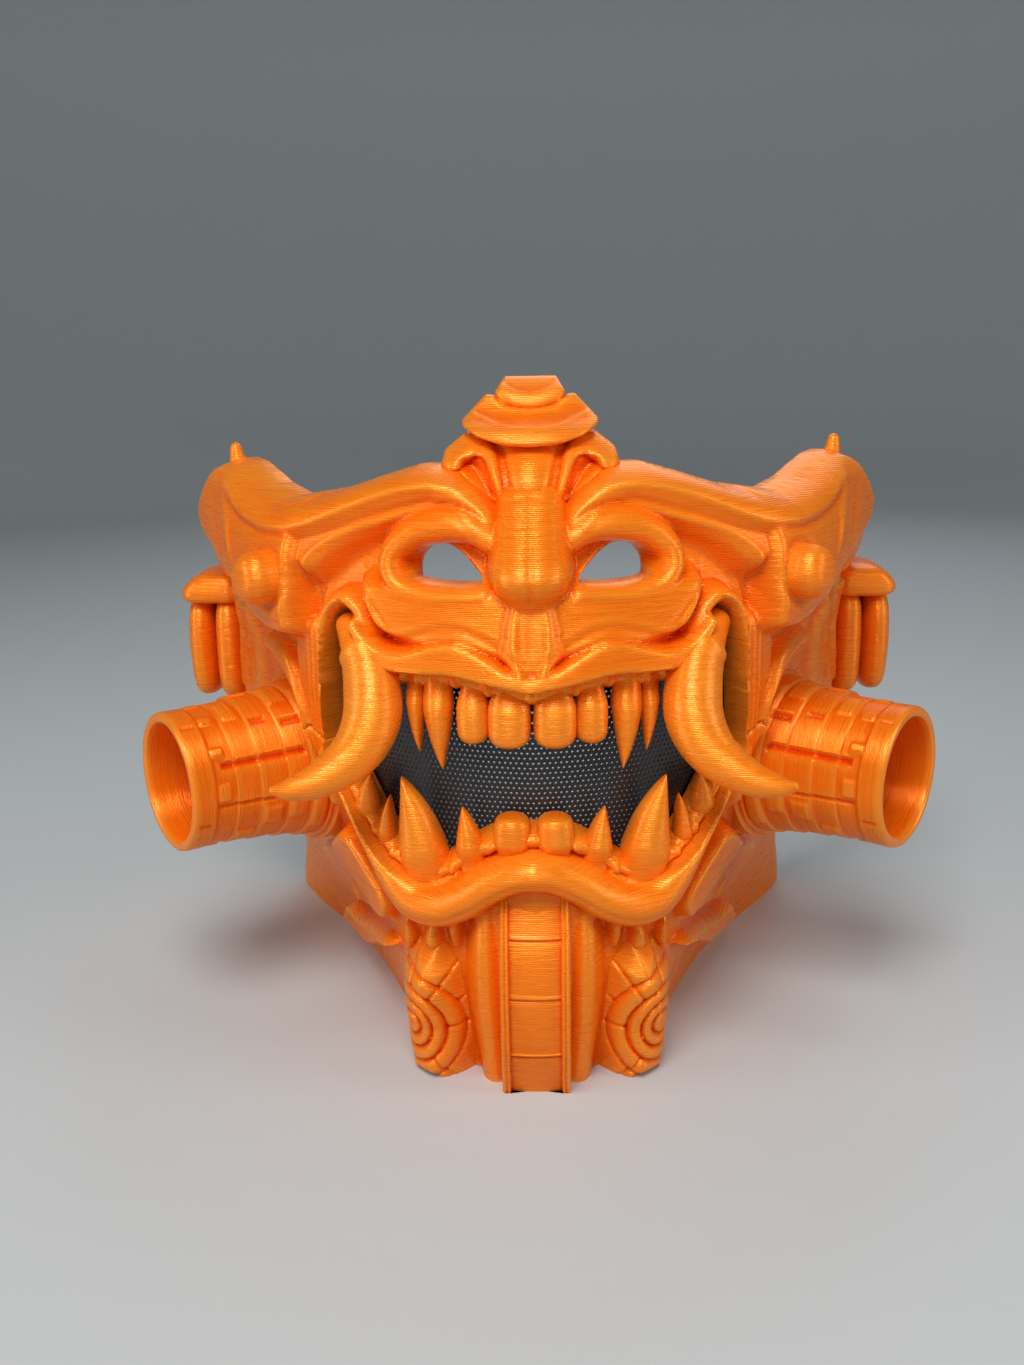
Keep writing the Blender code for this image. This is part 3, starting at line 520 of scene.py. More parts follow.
def thin_inner(obj: bpy.types.Object, count: int, sides: Array, keep: float) -> None:
    """Thins the triangles of the inner sheet alone, away from the wall's edge.

    Args:
        obj: a wall whose points from count on are its inner sheet.
        count: how many points each sheet has.
        sides: the edges of the front sheet's border.
        keep: share of the inner sheet's triangles to keep.
    """
    inner = np.ones(count, bool)
    inner[np.unique(sides)] = False
    group = obj.vertex_groups.new(name="inner")
    group.add((np.flatnonzero(inner) + count).tolist(), 1.0, "REPLACE")
    modifier = obj.modifiers.new("thin", "DECIMATE")
    modifier.vertex_group = "inner"
    modifier.ratio = 0.5 * (1 + keep)
    graph = bpy.context.evaluated_depsgraph_get()
    mesh = bpy.data.meshes.new_from_object(obj.evaluated_get(graph))
    obj.modifiers.clear()
    obj.vertex_groups.clear()
    obj.data = mesh


def mesh_arrays(mesh: bpy.types.Mesh) -> tuple[Array, Array, Array]:
    """The mesh's points, point normals and edges as arrays."""
    count = len(mesh.vertices)
    points = np.empty(count * 3)
    mesh.vertices.foreach_get("co", points)
    normals = np.empty(count * 3, np.float32)
    mesh.vertex_normals.foreach_get("vector", normals)
    edges = np.empty(len(mesh.edges) * 2, np.int64)
    mesh.edges.foreach_get("vertices", edges)
    return points.reshape(-1, 3), normals.reshape(-1, 3).astype(float), edges.reshape(-1, 2)


def store(mesh: bpy.types.Mesh, name: str, values: Array) -> None:
    """Keeps one number for each point of the mesh as an attribute for the materials."""
    attribute = mesh.attributes.get(name) or mesh.attributes.new(name, "FLOAT", "POINT")
    attribute.data.foreach_set("value", values.astype(np.float32))


# form leads the painted shade in creases and the painted highlight on crests of the orange finish, and where
# dust lies; its upper limit caps the painted highlight
FORM_REACH = 2.2 * MM
FORM_SCALE = 0.55 * MM
FORM_ROUNDS = (2, 30)
FORM_LIMITS = (-1.2, 0.26)


def mark_form(obj: bpy.types.Object) -> None:
    """Stores how far each point stands out of its surroundings, as the attribute form.

    The points are averaged with their neighbours n times, with n = (reach / edge)^2, and form
    is the distance along the normal from the averaged point to the real one over the scale.

    Args:
        obj: the piece.
    """
    points, normals, edges = mesh_arrays(obj.data)
    length = float(np.mean(np.linalg.norm(points[edges[:, 0]] - points[edges[:, 1]], axis=1)))
    times = int(np.clip((FORM_REACH / max(length, TINY)) ** 2, *FORM_ROUNDS))
    count = len(points)
    ends = np.concatenate([edges[:, 0], edges[:, 1]])
    others = np.concatenate([edges[:, 1], edges[:, 0]])
    degree = np.maximum(np.bincount(ends, minlength=count), 1)
    smooth = points.copy()
    for _ in range(times):
        means = [np.bincount(ends, smooth[others, k], count) / degree for k in range(3)]
        smooth = 0.5 * (smooth + np.column_stack(means))
    form = ((points - smooth) * normals).sum(axis=1) / FORM_SCALE
    mean = np.bincount(ends, form[others], count) / degree
    store(obj.data, "form", np.clip(0.5 * (form + mean), *FORM_LIMITS))


def mark_layers(obj: bpy.types.Object, axis: Sequence[float] = UP) -> None:
    """Stores the distance along the printing direction, in mm, as the attribute layer."""
    points = mesh_arrays(obj.data)[0]
    store(obj.data, "layer", points @ np.array(axis, float) / MM)


BROW_EDGE = (
    (5.3, 140.3), (8.6, 143.4), (11.6, 144.9), (17.4, 145.5), (22.9, 144.3), (28.4, 141.8),
    (33.7, 138.7), (38.6, 136.2), (43.4, 135.0), (49.0, 135.3), (56.3, 137.4), (62.5, 141.2),
)  # fmt: skip
BROW_FOLD = (
    (7.7, 134.4), (11.1, 138.8), (14.7, 140.9), (19.1, 139.3), (23.1, 137.2), (27.9, 135.3),
    (32.4, 133.1), (36.1, 129.9), (38.0, 126.7), (38.7, 121.5), (39.2, 115.2), (39.6, 109.5),
)  # fmt: skip
ARCH = (
    (24.0, 107.0), (25.8, 113.5), (27.9, 117.0), (30.8, 118.6), (33.0, 115.7), (34.2, 109.4),
    (35.2, 98.6), (35.9, 88.3), (36.3, 80.4), (36.5, 75.0),
)  # fmt: skip
LIP_LINE = (
    (0.0, 104.2), (2.1, 105.5), (4.9, 108.4), (9.0, 111.6), (12.3, 112.4), (15.9, 111.0),
    (20.2, 109.0), (23.6, 110.1), (25.9, 113.5), (27.9, 117.0),
)  # fmt: skip
CANISTER_RIM = (
    (66.0, 97.5), (58.0, 98.0), (51.2, 96.0), (46.3, 89.6), (44.7, 83.7), (44.8, 77.2),
    (46.6, 69.5), (49.8, 62.0), (54.5, 54.5), (61.0, 47.6), (68.0, 43.5),
)  # fmt: skip
LOWER_LIP = (
    (38.0, 77.0), (34.0, 72.5), (30.0, 67.3), (26.1, 61.0), (22.4, 54.2), (19.0, 49.8),
    (15.0, 49.3), (11.0, 51.9), (7.3, 56.0), (3.6, 59.2), (0.0, 60.2),
)  # fmt: skip


def sized(rows: Rows, width: float, height: float, ends: float = 1.0) -> Rows:
    """Rows of (degrees, mm) with a half width and a height added, thinner towards the ends."""
    rows = np.asarray(rows, float)
    t = np.linspace(-1, 1, len(rows))
    share = ends + (1 - ends) * (1 - t**4)
    return np.column_stack([rows, width * (0.6 + 0.4 * share), height * share])


def echoes(rows: Rows, offsets: Rows, ends: float = 0.4) -> list[Stroke]:
    """Thin lines beside a path, one for each (offset, half width, height) in mm."""
    return [Stroke(shifted(sized(rows, w, h, ends), d)) for d, w, h in offsets]


def shifted(rows: Rows, offset: float) -> Array:
    """Rows moved sideways by the offset in mm, to the left of the way that they run."""
    rows = np.array(rows, float)
    way = np.gradient(rows[:, :2] * (MM_PER_DEGREE, 1.0), axis=0)
    way /= np.linalg.norm(way, axis=1)[:, None]
    rows[:, 0] -= way[:, 1] * offset / MM_PER_DEGREE
    rows[:, 1] += way[:, 0] * offset
    return rows


@dataclass
class FaceRelief:
    """Everything that stands on the base of the face shell, on its right half."""

    head: HeadForm
    seat_angle: float = 63.0
    seat_height: float = 0.06804
    seat_radius: float = 0.0235
    masses: tuple[Mass, ...] = (
        Mass(((13, 158), (30, 158), (50, 158), (64, 158), (64, 143), (52, 133), (40, 120),
              (36, 120), (31, 127.4), (25, 131), (17, 134), (10, 136.2), (5, 132.5), (7.5, 138.0),
              (12, 143.5)), 6.8, 6.5),
        Mass(((-5, 121.5), (4.2, 121.5), (4.5, 115.5), (5.4, 110.5), (5.6, 107.8), (2.6, 103.8),
              (-5, 101.5)), 8.4, 2.4, 2.5),
        Mass(((38, 158), (68, 158), (78.5, 145.0), (84, 134.4), (81, 127.4), (75, 123.0),
              (65, 118.4), (60, 110.4), (50, 105.4), (43, 105.0), (38.2, 107), (38.4, 117.6),
              (38.0, 131)), 9.4, 5.0),
        Mass(((-3, 127.7), (8, 126), (16, 124.3), (22, 126.8), (27.6, 127.5), (30, 123.0),
              (28.6, 117.6), (26, 110), (20, 107), (14, 106), (9, 106), (4, 104), (-3, 102)), 7.4, 5.4),
        Mass(((-4, 105.0), (2.1, 106.0), (4.9, 108.8), (9.0, 112.0), (12.3, 112.8), (15.9, 111.4),
              (20.2, 109.4), (23.4, 110.4), (25.6, 113.7), (27.4, 116.8), (30.0, 114.5), (27, 107),
              (24, 101), (16, 99.0), (8, 98.4), (-4, 97)), 9.3, 1.7, 2.0),
        Mass(((-4, 56), (6, 53), (10.6, 45.4), (11.4, 25), (10.6, 8.4), (9, -8), (-4, -8)), 2.6, 2.2),
        Mass(((51.8, 47.6), (36.4, 61.0), (23.2, 45.6), (25.6, 36.2), (30.0, 36.2)), 6.2, 2.8, 3.4),
        Mass(((67.5, 21.1), (55.9, 21.8), (28.0, 32.4), (24.6, 29.2), (50.9, 12.0), (87.4, 6.5)),
             5.8, 2.4, 2.4),
        Mass(((52.5, 43.8), (31.0, 33.6), (57, 24.5), (70, 24.2), (84, 32), (72, 38)), 3.4, 1.4, 2.0),
        Mass(((35, 118), (46, 110), (48, 100), (46, 62), (39, 58), (36.5, 78), (34.5, 98)), 3.6, 4.2),
        Mass(((79, 103), (93, 112), (96, 103), (96, 72), (84, 70), (80, 88)), 2.6, 1.5),
        Mass(((84, 64), (97, 68), (112, 66), (112, 40), (98, 34), (86, 46)), 2.4, 1.8),
        Mass(((80, 122), (86, 131), (98, 124), (96, 114), (84, 109)), 3.0, 2.0),
    )  # fmt: skip
    nose: Rows = (
        (0, 146.5, 8.4, 5.0), (0, 143.0, 9.6, 8.6), (0, 137, 10.0, 11.2), (0, 131.8, 10.2, 13.6),
        (0, 127.0, 10.8, 15.9), (0, 123.6, 9.8, 14.2), (0, 120.4, 7.2, 10.6), (0, 118.4, 5.0, 8.4),
    )  # fmt: skip
    rolls: tuple[Rows, ...] = (
        ((6, 133.4, 4.4, 8.6), (8.5, 135.6, 4.8, 9.2), (11, 136.8, 5.2, 9.6), (15, 136.8, 5.2, 9.4),
         (19.4, 134.9, 4.8, 8.8), (22.6, 130.8, 4.4, 8.0), (22.9, 126.4, 3.9, 7.6),
         (20.6, 122.4, 3.2, 7.6), (16, 120.8, 3.0, 7.8), (12, 120.8, 3.0, 7.9), (7, 121.4, 3.0, 8.0)),
        ((5.8, 134.4, 1.8, 7.6), (7.4, 138.6, 2.1, 8.8), (10.8, 142.0, 3.0, 9.8), (14.5, 144.2, 4.4, 10.2),
         (19, 145.4, 5.9, 10.4),
         (28, 142.6, 6.4, 10.2), (38, 137.2, 6.2, 10.2), (46, 135.6, 6.0, 10.6), (56, 138.4, 6.0, 10.8),
         (63, 142.4, 5.4, 10.6), (69, 146.4, 4.0, 9.8)),
        ((2.2, 119.0, 2.9, 8.8), (2.6, 113.5, 3.3, 9.3), (2.4, 108.5, 2.8, 9.2), (1.4, 104.6, 1.6, 9.0)),
        ((70, 139.0, 4.4, 9.4), (74, 142.5, 3.4, 8.6), (76, 146.5, 2.2, 7.0)),
        ((25.6, 111.5, 2.4, 6.6), (27.9, 116.4, 2.4, 6.6), (31, 118.9, 2.4, 6.4), (34, 115.8, 2.0, 6.0),
         (35.6, 108.0, 1.7, 5.8), (36.6, 98.0, 1.6, 5.6), (37.2, 88.0, 1.6, 5.6), (37.9, 79.0, 1.7, 5.8)),
        ((66, 99.6, 2.6, 4.6), (57.0, 100.4, 2.9, 5.4), (50.0, 98.2, 3.0, 5.6), (45.6, 91.4, 2.6, 5.6),
         (44.9, 82.0, 2.4, 5.4), (45.9, 72.0, 2.4, 5.2), (48.6, 62.4, 2.4, 5.0), (54, 53.4, 2.4, 4.6),
         (61, 46.6, 2.3, 4.2), (68, 42.6, 2.0, 3.6)),
        ((39, 78.0, 3.0, 5.8), (34, 72, 3.8, 7.0), (30, 66, 4.8, 8.2), (26, 59, 5.6, 9.2),
         (22.4, 52.4, 6.2, 9.8), (19, 48.4, 6.4, 10), (15, 47.8, 6.2, 10), (11, 50.2, 5.8, 9.9),
         (7, 54.4, 5.4, 9.8), (3, 57.4, 5.2, 9.8), (0, 58.2, 5.2, 9.8)),
        ((33.5, 76.5, 1.5, 5.6), (29.0, 69.6, 1.7, 5.8), (25.2, 62.8, 1.8, 6.2), (21.6, 57.2, 1.9, 6.6),
         (18.2, 55.0, 2.0, 6.8), (15.2, 54.8, 2.0, 6.8), (12.4, 57.4, 1.8, 6.6), (10, 61.2, 1.6, 6.2)),
        ((7.6, 49.0, 2.6, 3.4), (7.7, 38.0, 3.3, 4.8), (7.7, 24.0, 3.6, 5.4), (7.6, 12.0, 3.6, 5.2),
         (7.4, 0.0, 3.4, 4.4)),
        ((11.8, 46.0, 1.2, 3.4), (12.6, 41.5, 1.7, 4.0), (12.4, 37.0, 1.0, 3.0)),
        ((15.6, 42.6, 0.8, 2.4), (16.4, 39.6, 2.2, 4.2), (16.6, 36.6, 2.6, 4.4)),
        ((21.8, 41.4, 1.0, 3.0), (21.6, 36.4, 1.9, 3.8), (22.4, 31.8, 1.0, 2.6)),
        ((79, 121, 1.8, 3.4), (86, 104, 2.0, 4.2), (92, 90, 2.0, 4.0), (96, 78, 1.8, 3.4)),
        ((80, 111, 1.5, 3.0), (85, 98, 1.7, 3.6), (90, 84, 1.7, 3.4), (94, 70, 1.5, 3.0)),
        ((98, 118, 1.8, 3.0), (104, 117, 2.2, 3.4), (112, 113, 2.2, 3.4)),
        ((98, 66, 1.6, 3.0), (104, 62, 1.9, 3.4), (112, 60, 1.9, 3.4)),
    )  # fmt: skip

    fold: Rows = (
        (29.9, 126.0), (28.2, 122.6), (26.1, 119.3), (24.3, 116.2), (22.9, 113.9), (20.6, 112.0),
    )  # fmt: skip
    cheek_ridges: tuple[float, ...] = (2.6, 4.7, 6.8, 8.9)
    marks: tuple[Rows, ...] = (
        ((0, 146, 0.5, -0.10), (0, 136, 0.9, -0.30), (0, 128, 1.1, -0.55), (0, 121, 0.9, -0.7)),
        ((0, 118.5, 1.1, -0.3), (0, 112.0, 1.4, -0.5), (0, 106.0, 0.9, -0.2)),
        ((2.9, 118.5, 0.8, -0.15), (3.1, 112.5, 0.9, -0.3), (2.2, 107.4, 0.6, -0.15)),
        ((5.2, 139.5, 0.6, -0.2), (3.0, 141.2, 0.7, -0.4), (0, 142.2, 0.7, -0.4)),
        ((62, 112.4, 0.8, -0.4), (68, 122.5, 0.9, -0.7), (74.5, 131.5, 0.8, -0.5)),
        ((66, 143.0, 1.4, 0.7), (61, 133.0, 1.6, 0.8), (58, 124.0, 1.2, 0.5)),
        ((70, 140.0, 0.9, -0.6), (66, 131.5, 1.0, -0.8), (63, 122.0, 0.8, -0.5)),
        ((48.5, 48.0, 0.7, -0.5), (37.0, 57.4, 0.7, -0.6), (31.5, 52.6, 0.6, -0.4)),
        ((33.5, 37.6, 0.6, 0.4), (42.0, 44.0, 0.6, 0.5), (50.0, 48.5, 0.5, 0.3)),
        ((45.5, 29.0, 0.5, -0.8), (44.5, 24.5, 0.6, -0.9), (46.0, 19.5, 0.5, -0.8)),
        ((53.5, 26.5, 0.7, 0.9), (51.0, 30.0, 0.9, 1.2), (53.5, 33.0, 0.7, 0.9)),
        ((36.6, 27.5, 0.4, -0.7), (36.0, 24.2, 0.5, -0.8), (37.2, 20.6, 0.4, -0.7)),
        ((86.5, 100.0, 0.7, -1.4), (88.0, 90.0, 0.8, -1.6), (89.5, 80.0, 0.7, -1.4)),
        ((92, 60.0, 0.8, -1.0), (100, 52.0, 0.9, -1.2), (108, 50.0, 0.8, -1.0)),
    )
    bolt: tuple[float, float] = (45.8, 122.3)
    bolt_groove: tuple[float, float, float] = (-0.6, 7.2, 0.9)
    bolt_rim: tuple[float, float, float] = (0.25, 9.0, 1.2)

    def lines(self) -> list[Stroke]:
        """The thin ridges and grooves, each given along its path."""
        made = echoes(BROW_EDGE, ((-0.6, 0.9, 0.55), (-2.4, 0.8, -0.40), (2.9, 1.0, 0.20)))
        made += echoes(BROW_FOLD, ((0.4, 0.8, 0.45), (-1.3, 0.8, -0.35)))
        made += echoes(ARCH, ((0.5, 0.6, 0.45), (-0.8, 0.5, -0.40)))
        made += echoes(LIP_LINE, ((0.3, 0.8, 0.55), (1.8, 0.9, -0.35), (3.6, 0.9, 0.25)))
        made += echoes(CANISTER_RIM, ((0.9, 0.6, 0.7), (-0.5, 0.55, -0.55), (-1.9, 0.6, 0.6),
                                      (-3.4, 0.6, -0.5)))  # fmt: skip
        made += echoes(LOWER_LIP, ((3.6, 0.7, -0.55), (-3.4, 0.8, -0.35), (4.7, 0.5, 0.35)), 0.6)
        made.append(Stroke(sized(self.fold, 1.0, 0.55, 0.2)))
        made.append(Stroke(shifted(sized(self.fold, 0.9, -0.45, 0.2), -1.5)))
        ridge = sized(ARCH[3:], 0.95, 0.8, 0.1)
        made += [Stroke(shifted(ridge, far)) for far in self.cheek_ridges]
        return made + [Stroke(rows) for rows in self.marks]

    def ring(self, points: Array) -> Array:
        """The sunk ring round each bolt: a groove, and a low rim outside its lower half.

        Each is its height times a bell over the distance to the bolt's middle, by its radius
        and its width.
        """
        centre = self.head.places((self.bolt,))[0]
        away = np.hypot(*(points - centre).T) / MM
        groove, rim = (h * bell(away, r, w) for h, r, w in (self.bolt_groove, self.bolt_rim))
        lower = ease(centre[1] + 3 * MM - points[:, 1], 8 * MM)
        return (groove + rim * lower) * MM

    def height(self, points: Array) -> Array:
        """Height of the relief: the highest mass or roll, and the lines added to it.

        It eases to nothing on the canister's seat.
        """
        half = np.column_stack([np.abs(points[:, 0]), points[:, 1]])
        total = np.zeros(len(points))
        for mass in self.masses:
            total = np.maximum(total, mass.lift(self.head, half))
        total = np.maximum(total, Stroke(self.nose, Blend.BROAD).lift(self.head, half))
        for rows in self.rolls:
            total = np.maximum(total, Stroke(rows, Blend.ROLL).lift(self.head, half))
        total += self.ring(half)
        for line in self.lines():
            total += line.lift(self.head, half)
        centre = self.head.places(((self.seat_angle, self.seat_height / MM),))[0]
        away = np.hypot(*((half - centre) * (0.80, 1.0)).T)
        return total * ease(away - self.seat_radius, 3.0 * MM)


@dataclass
class FaceShell:
    """The printed face: a wall with a smooth back, its mouth and nostrils open."""

    head: HeadForm
    relief: FaceRelief
    cell: float = 0.00058
    side_cell: float = 0.0015
    rim: float = 0.0011
    inner_keep: float = 0.10
    fade: float = 0.0055
    edge: Rows = (
        (0, 150.4), (11, 147.8), (17, 148.7), (22, 148.8), (29, 146.2), (36, 143.3), (48, 140.6),
        (57, 142.8), (63, 145.2), (69, 147.2), (73.6, 147.8), (77, 146.6), (79.5, 143.8), (84, 138.6),
        (93, 131.9), (100, 121.8), (107, 115.1), (115, 110.9), (113, 60.5), (116, 20.2), (118, -14),
        (0, -14),
    )  # fmt: skip
    mouth: Rows = (
        (0, 100.8), (6, 102.5), (12, 104.2), (18, 103.7), (24, 105.0), (28, 110.9), (31.5, 115.6),
        (34, 112.6), (36, 102.5), (37.5, 89.0), (38, 80.6), (35, 74.8), (31.5, 68.0), (28, 62.2),
        (24, 57.1), (20, 54.3), (16, 53.4), (12, 56.4), (6, 62.5), (0, 63.8),
    )  # fmt: skip
    nostril: Rows = (
        (7, 123.3), (9, 125.6), (11.6, 129.0), (14.5, 131.0), (17.5, 130.9), (19.4, 128.2),
        (19.5, 125.0), (18.8, 123.6), (14, 123.0), (10.5, 123.0),
    )  # fmt: skip
    split: Rows = ((0, 82), (38, 82), (44, 84), (52, 72), (74, 66), (84, 70), (120, 76))
    parts: tuple[tuple[int, str, float, float], ...] = (
        (1, "face_upper", 0.064, 0.156), (-1, "face_lower", 0.0, 0.086),
    )  # fmt: skip
    widest: float = 120.0
    fine_within: float = 60.0

    def outline(self, rows: Rows) -> Array:
        """A half outline, rounded by a smooth curve, closed by its mirror image."""
        return closed_by_mirror(curve_through(self.head.places(rows), 3))

    def region(self, part: int) -> PlaceFunction:
        """Depth inside the upper (1) or the lower (-1) part of the shell."""
        edge = self.outer_edge()
        mouth = self.outline(self.mouth)
        nostril = curve_through(self.head.places(self.nostril), 3)
        split = self.head.places(self.split)

        def depth(points: Array) -> Array:
            """The least of the depths inside the outline, outside the holes and past the split."""
            half = np.column_stack([np.abs(points[:, 0]), points[:, 1]])
            inside = np.minimum(depth_inside(points, edge), -depth_inside(points, mouth))
            inside = np.minimum(inside, -depth_inside(half, nostril))
            level = np.interp(half[:, 0], split[:, 0], split[:, 1])
            return np.minimum(inside, part * (points[:, 1] - level))

        return depth

    def fall(self, points: Array) -> Array:
        """Share of the relief that is kept: sqrt(1 - s^2.5) towards the top edge.

        With s = 1 - depth / fade, where depth is the distance to the shell's outer edge.
        """
        half = np.column_stack([np.abs(points[:, 0]), points[:, 1]])
        depth = depth_inside(points, self.outer_edge(), self.fade)
        share = np.clip(1 - depth / self.fade, 0, 0.97) * ease(half[:, 1] - 0.100, 0.02)
        return np.sqrt(1 - share**2.5)

    def outer_edge(self) -> Array:
        """The shell's outline, closed by its mirror image."""
        return closed_by_mirror(self.head.places(self.edge))

    def front(self, points: Array) -> Array:
        """Radius of the front: the base and the share of the relief that is kept."""
        return self.head.radius(points) + self.relief.height(points) * self.fall(points)

    def build(self) -> list[bpy.types.Object]:
        """Makes the two parts of the shell."""
        head = self.head
        wide, fine = (math.radians(angle) * head.unroll for angle in (self.widest, self.fine_within))
        us = graded_lines(-wide, wide, self.cell, self.side_cell, fine)
        pieces = []
        for part, name, low, high in self.parts:
            vs = np.linspace(low, high, int(round((high - low) / self.cell)) + 1)
            wall = Sheet(head.to_space, self.region(part), self.front, head.back, self.rim, 2)
            pieces.append(wall.build(name, us, vs, self.inner_keep))
        return pieces


def lofted(name: str, rings: Array) -> bpy.types.Object:
    """A closed surface through rings of points, shut by a fan at each end.

    Args:
        name: the piece's name.
        rings: points as (ring, place round the ring, x y z).

    Returns:
        The piece with its faces outwards.
    """
    count, around = rings.shape[:2]
    ends = np.stack([np.repeat(rings[k].mean(axis=0)[None], around, axis=0) for k in (0, -1)])
    rings = np.concatenate([ends[:1], rings, ends[1:]])
    i, j = index_pairs(count + 1, around)
    k = (j + 1) % around
    low, high = i * around, (i + 1) * around
    faces = np.column_stack([low + j, low + k, high + k, high + j])
    return outwards(merged(mesh_object(name, rings.reshape(-1, 3), faces.tolist())))


def outwards(obj: bpy.types.Object) -> bpy.types.Object:
    """Turns the faces of a closed piece outwards."""
    work = bmesh.new()
    work.from_mesh(obj.data)
    bmesh.ops.recalc_face_normals(work, faces=work.faces)
    if work.calc_volume(signed=True) < 0:
        bmesh.ops.reverse_faces(work, faces=work.faces)
    work.to_mesh(obj.data)
    work.free()
    return obj


def mirrored(points: Array, side: Side) -> Array:
    """The points on that side of the face, from points on the right."""
    return points * np.array([side.value, 1, 1])


def mirror_mesh(obj: bpy.types.Object) -> None:
    """Mirrors a piece that was made on the right over to the left."""
    points = mesh_arrays(obj.data)[0] * (-1, 1, 1)
    obj.data.vertices.foreach_set("co", points.ravel())
    obj.data.flip_normals()


def word(side: Side) -> str:
    """The side's name for a piece."""
    return side.name.lower()


@dataclass
class Tusk:
    """A round tusk that curls down, forward and outward from a collar in the cheek.

    A row of the path is x and y in head radii, z in mask heights and the share of the radius.
    """

    head: HeadForm
    radius: float = 0.0068
    rings: int = 90
    segments: int = 48
    collar: float = 0.4 * MM
    collar_at: float = 0.16
    collar_width: float = 0.018
    foot_sink: float = 0.3 * MM
    foot_ease: float = 0.02
    tip_at: float = 0.985
    tip_length: float = 0.0151
    path: Rows = (
        (0.485, 0.235, 0.668, 0.50), (0.44, 0.15, 0.640, 0.76), (0.41, 0.095, 0.597, 0.96),
        (0.408, 0.045, 0.552, 0.98), (0.45, 0.0, 0.512, 0.84), (0.53, -0.05, 0.486, 0.61),
        (0.60, -0.078, 0.478, 0.38), (0.65, -0.09, 0.479, 0.10),
    )  # fmt: skip

    def sizes(self, shares: Array) -> Array:
        """Radius along the tusk: its share of the full radius, with the collar and the tip.

        The collar is a bell, the foot behind it is a little thinner, and the last part shrinks
        by sqrt(1 - ((t - e) / l)^2).
        """
        t = np.linspace(0, 1, self.rings)
        collar = self.collar * bell(t, self.collar_at, self.collar_width)
        foot = self.foot_sink * ease(self.collar_at - t, self.foot_ease)
        past = ((t - self.tip_at) / self.tip_length) ** 2 * (t > self.tip_at)
        return (shares * self.radius + collar - foot) * np.sqrt(np.clip(1 - past, 0.0004, 1))

    def build(self, side: Side) -> bpy.types.Object:
        """Makes the tusk: a circle square to the path, carried along it."""
        head = self.head
        rows = resampled(self.path, self.rings)
        units = (head.head_radius, head.head_radius, head.height)
        centre = rows[:, :3] * units + head.drawing_shift
        way = np.gradient(centre, axis=0)
        way /= np.linalg.norm(way, axis=1)[:, None]
        across = np.array([1.0, 0.0, 0.0]) - way * way[:, :1]
        across /= np.linalg.norm(across, axis=1)[:, None]
        up = np.cross(way, across)
        turn = full_turn(self.segments)[None, :, None]
        offset = across[:, None] * np.cos(turn) + up[:, None] * np.sin(turn)
        rings = centre[:, None] + offset * self.sizes(rows[:, 3])[:, None, None]
        obj = lofted("tusk_" + word(side) + "_form", mirrored(rings, side))
        smooth_with_edges(obj, 60)
        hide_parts("tusk_" + word(side))
        return obj


@dataclass
class Horn:
    """The narrow upright spike on each shoulder, by rows of (x, y, z, radius) in mm."""

    head: HeadForm
    rings: int = 30
    segments: int = 32
    path: Rows = (
        (77.4, 70.0, 139.5, 2.9), (78.3, 69.6, 144.2, 2.7), (79.0, 69.4, 148.0, 2.0),
        (79.3, 69.4, 151.6, 1.2),
    )  # fmt: skip

    def build(self, side: Side) -> bpy.types.Object:
        """Makes the spike: level circles of radius r(z), rounded at the tip."""
        rows = resampled(self.path, self.rings)
        s = np.clip((rows[:, 2] - rows[-1, 2]) / rows[-1, 3] + 1, 0, 0.995)
        turn = full_turn(self.segments)
        radius = (rows[:, 3] * np.sqrt(1 - s**2))[:, None]
        x, y = rows[:, :1] + radius * np.cos(turn), rows[:, 1:2] + radius * np.sin(turn)
        z = np.repeat(rows[:, 2:3], self.segments, axis=1)
        rings = np.stack([x, y, z], -1) * MM + self.head.drawing_shift
        obj = lofted("horn_" + word(side), mirrored(rings, side))
        smooth_with_edges(obj, 60)
        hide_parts("face_shell")
        return obj


@dataclass(frozen=True)
class Patch:
    """A raised or sunk patch of a canister: limits along it in mm, round it in degrees."""

    start: float
    end: float
    low: float
    high: float
    rise: float
    edge: float = 0.5

    def lift(self, along: Array, turn: Array, radius: float) -> Array:
        """The rise inside the patch, easing to nothing over its edge, in mm."""
        across = np.abs((turn - 0.5 * (self.low + self.high) + 180) % 360 - 180)
        across = (0.5 * (self.high - self.low) - across) * math.pi / 180 * radius
        inside = np.minimum(np.minimum(along - self.start, self.end - along), across)
        return self.rise * ease(inside + 0.5 * self.edge, self.edge)


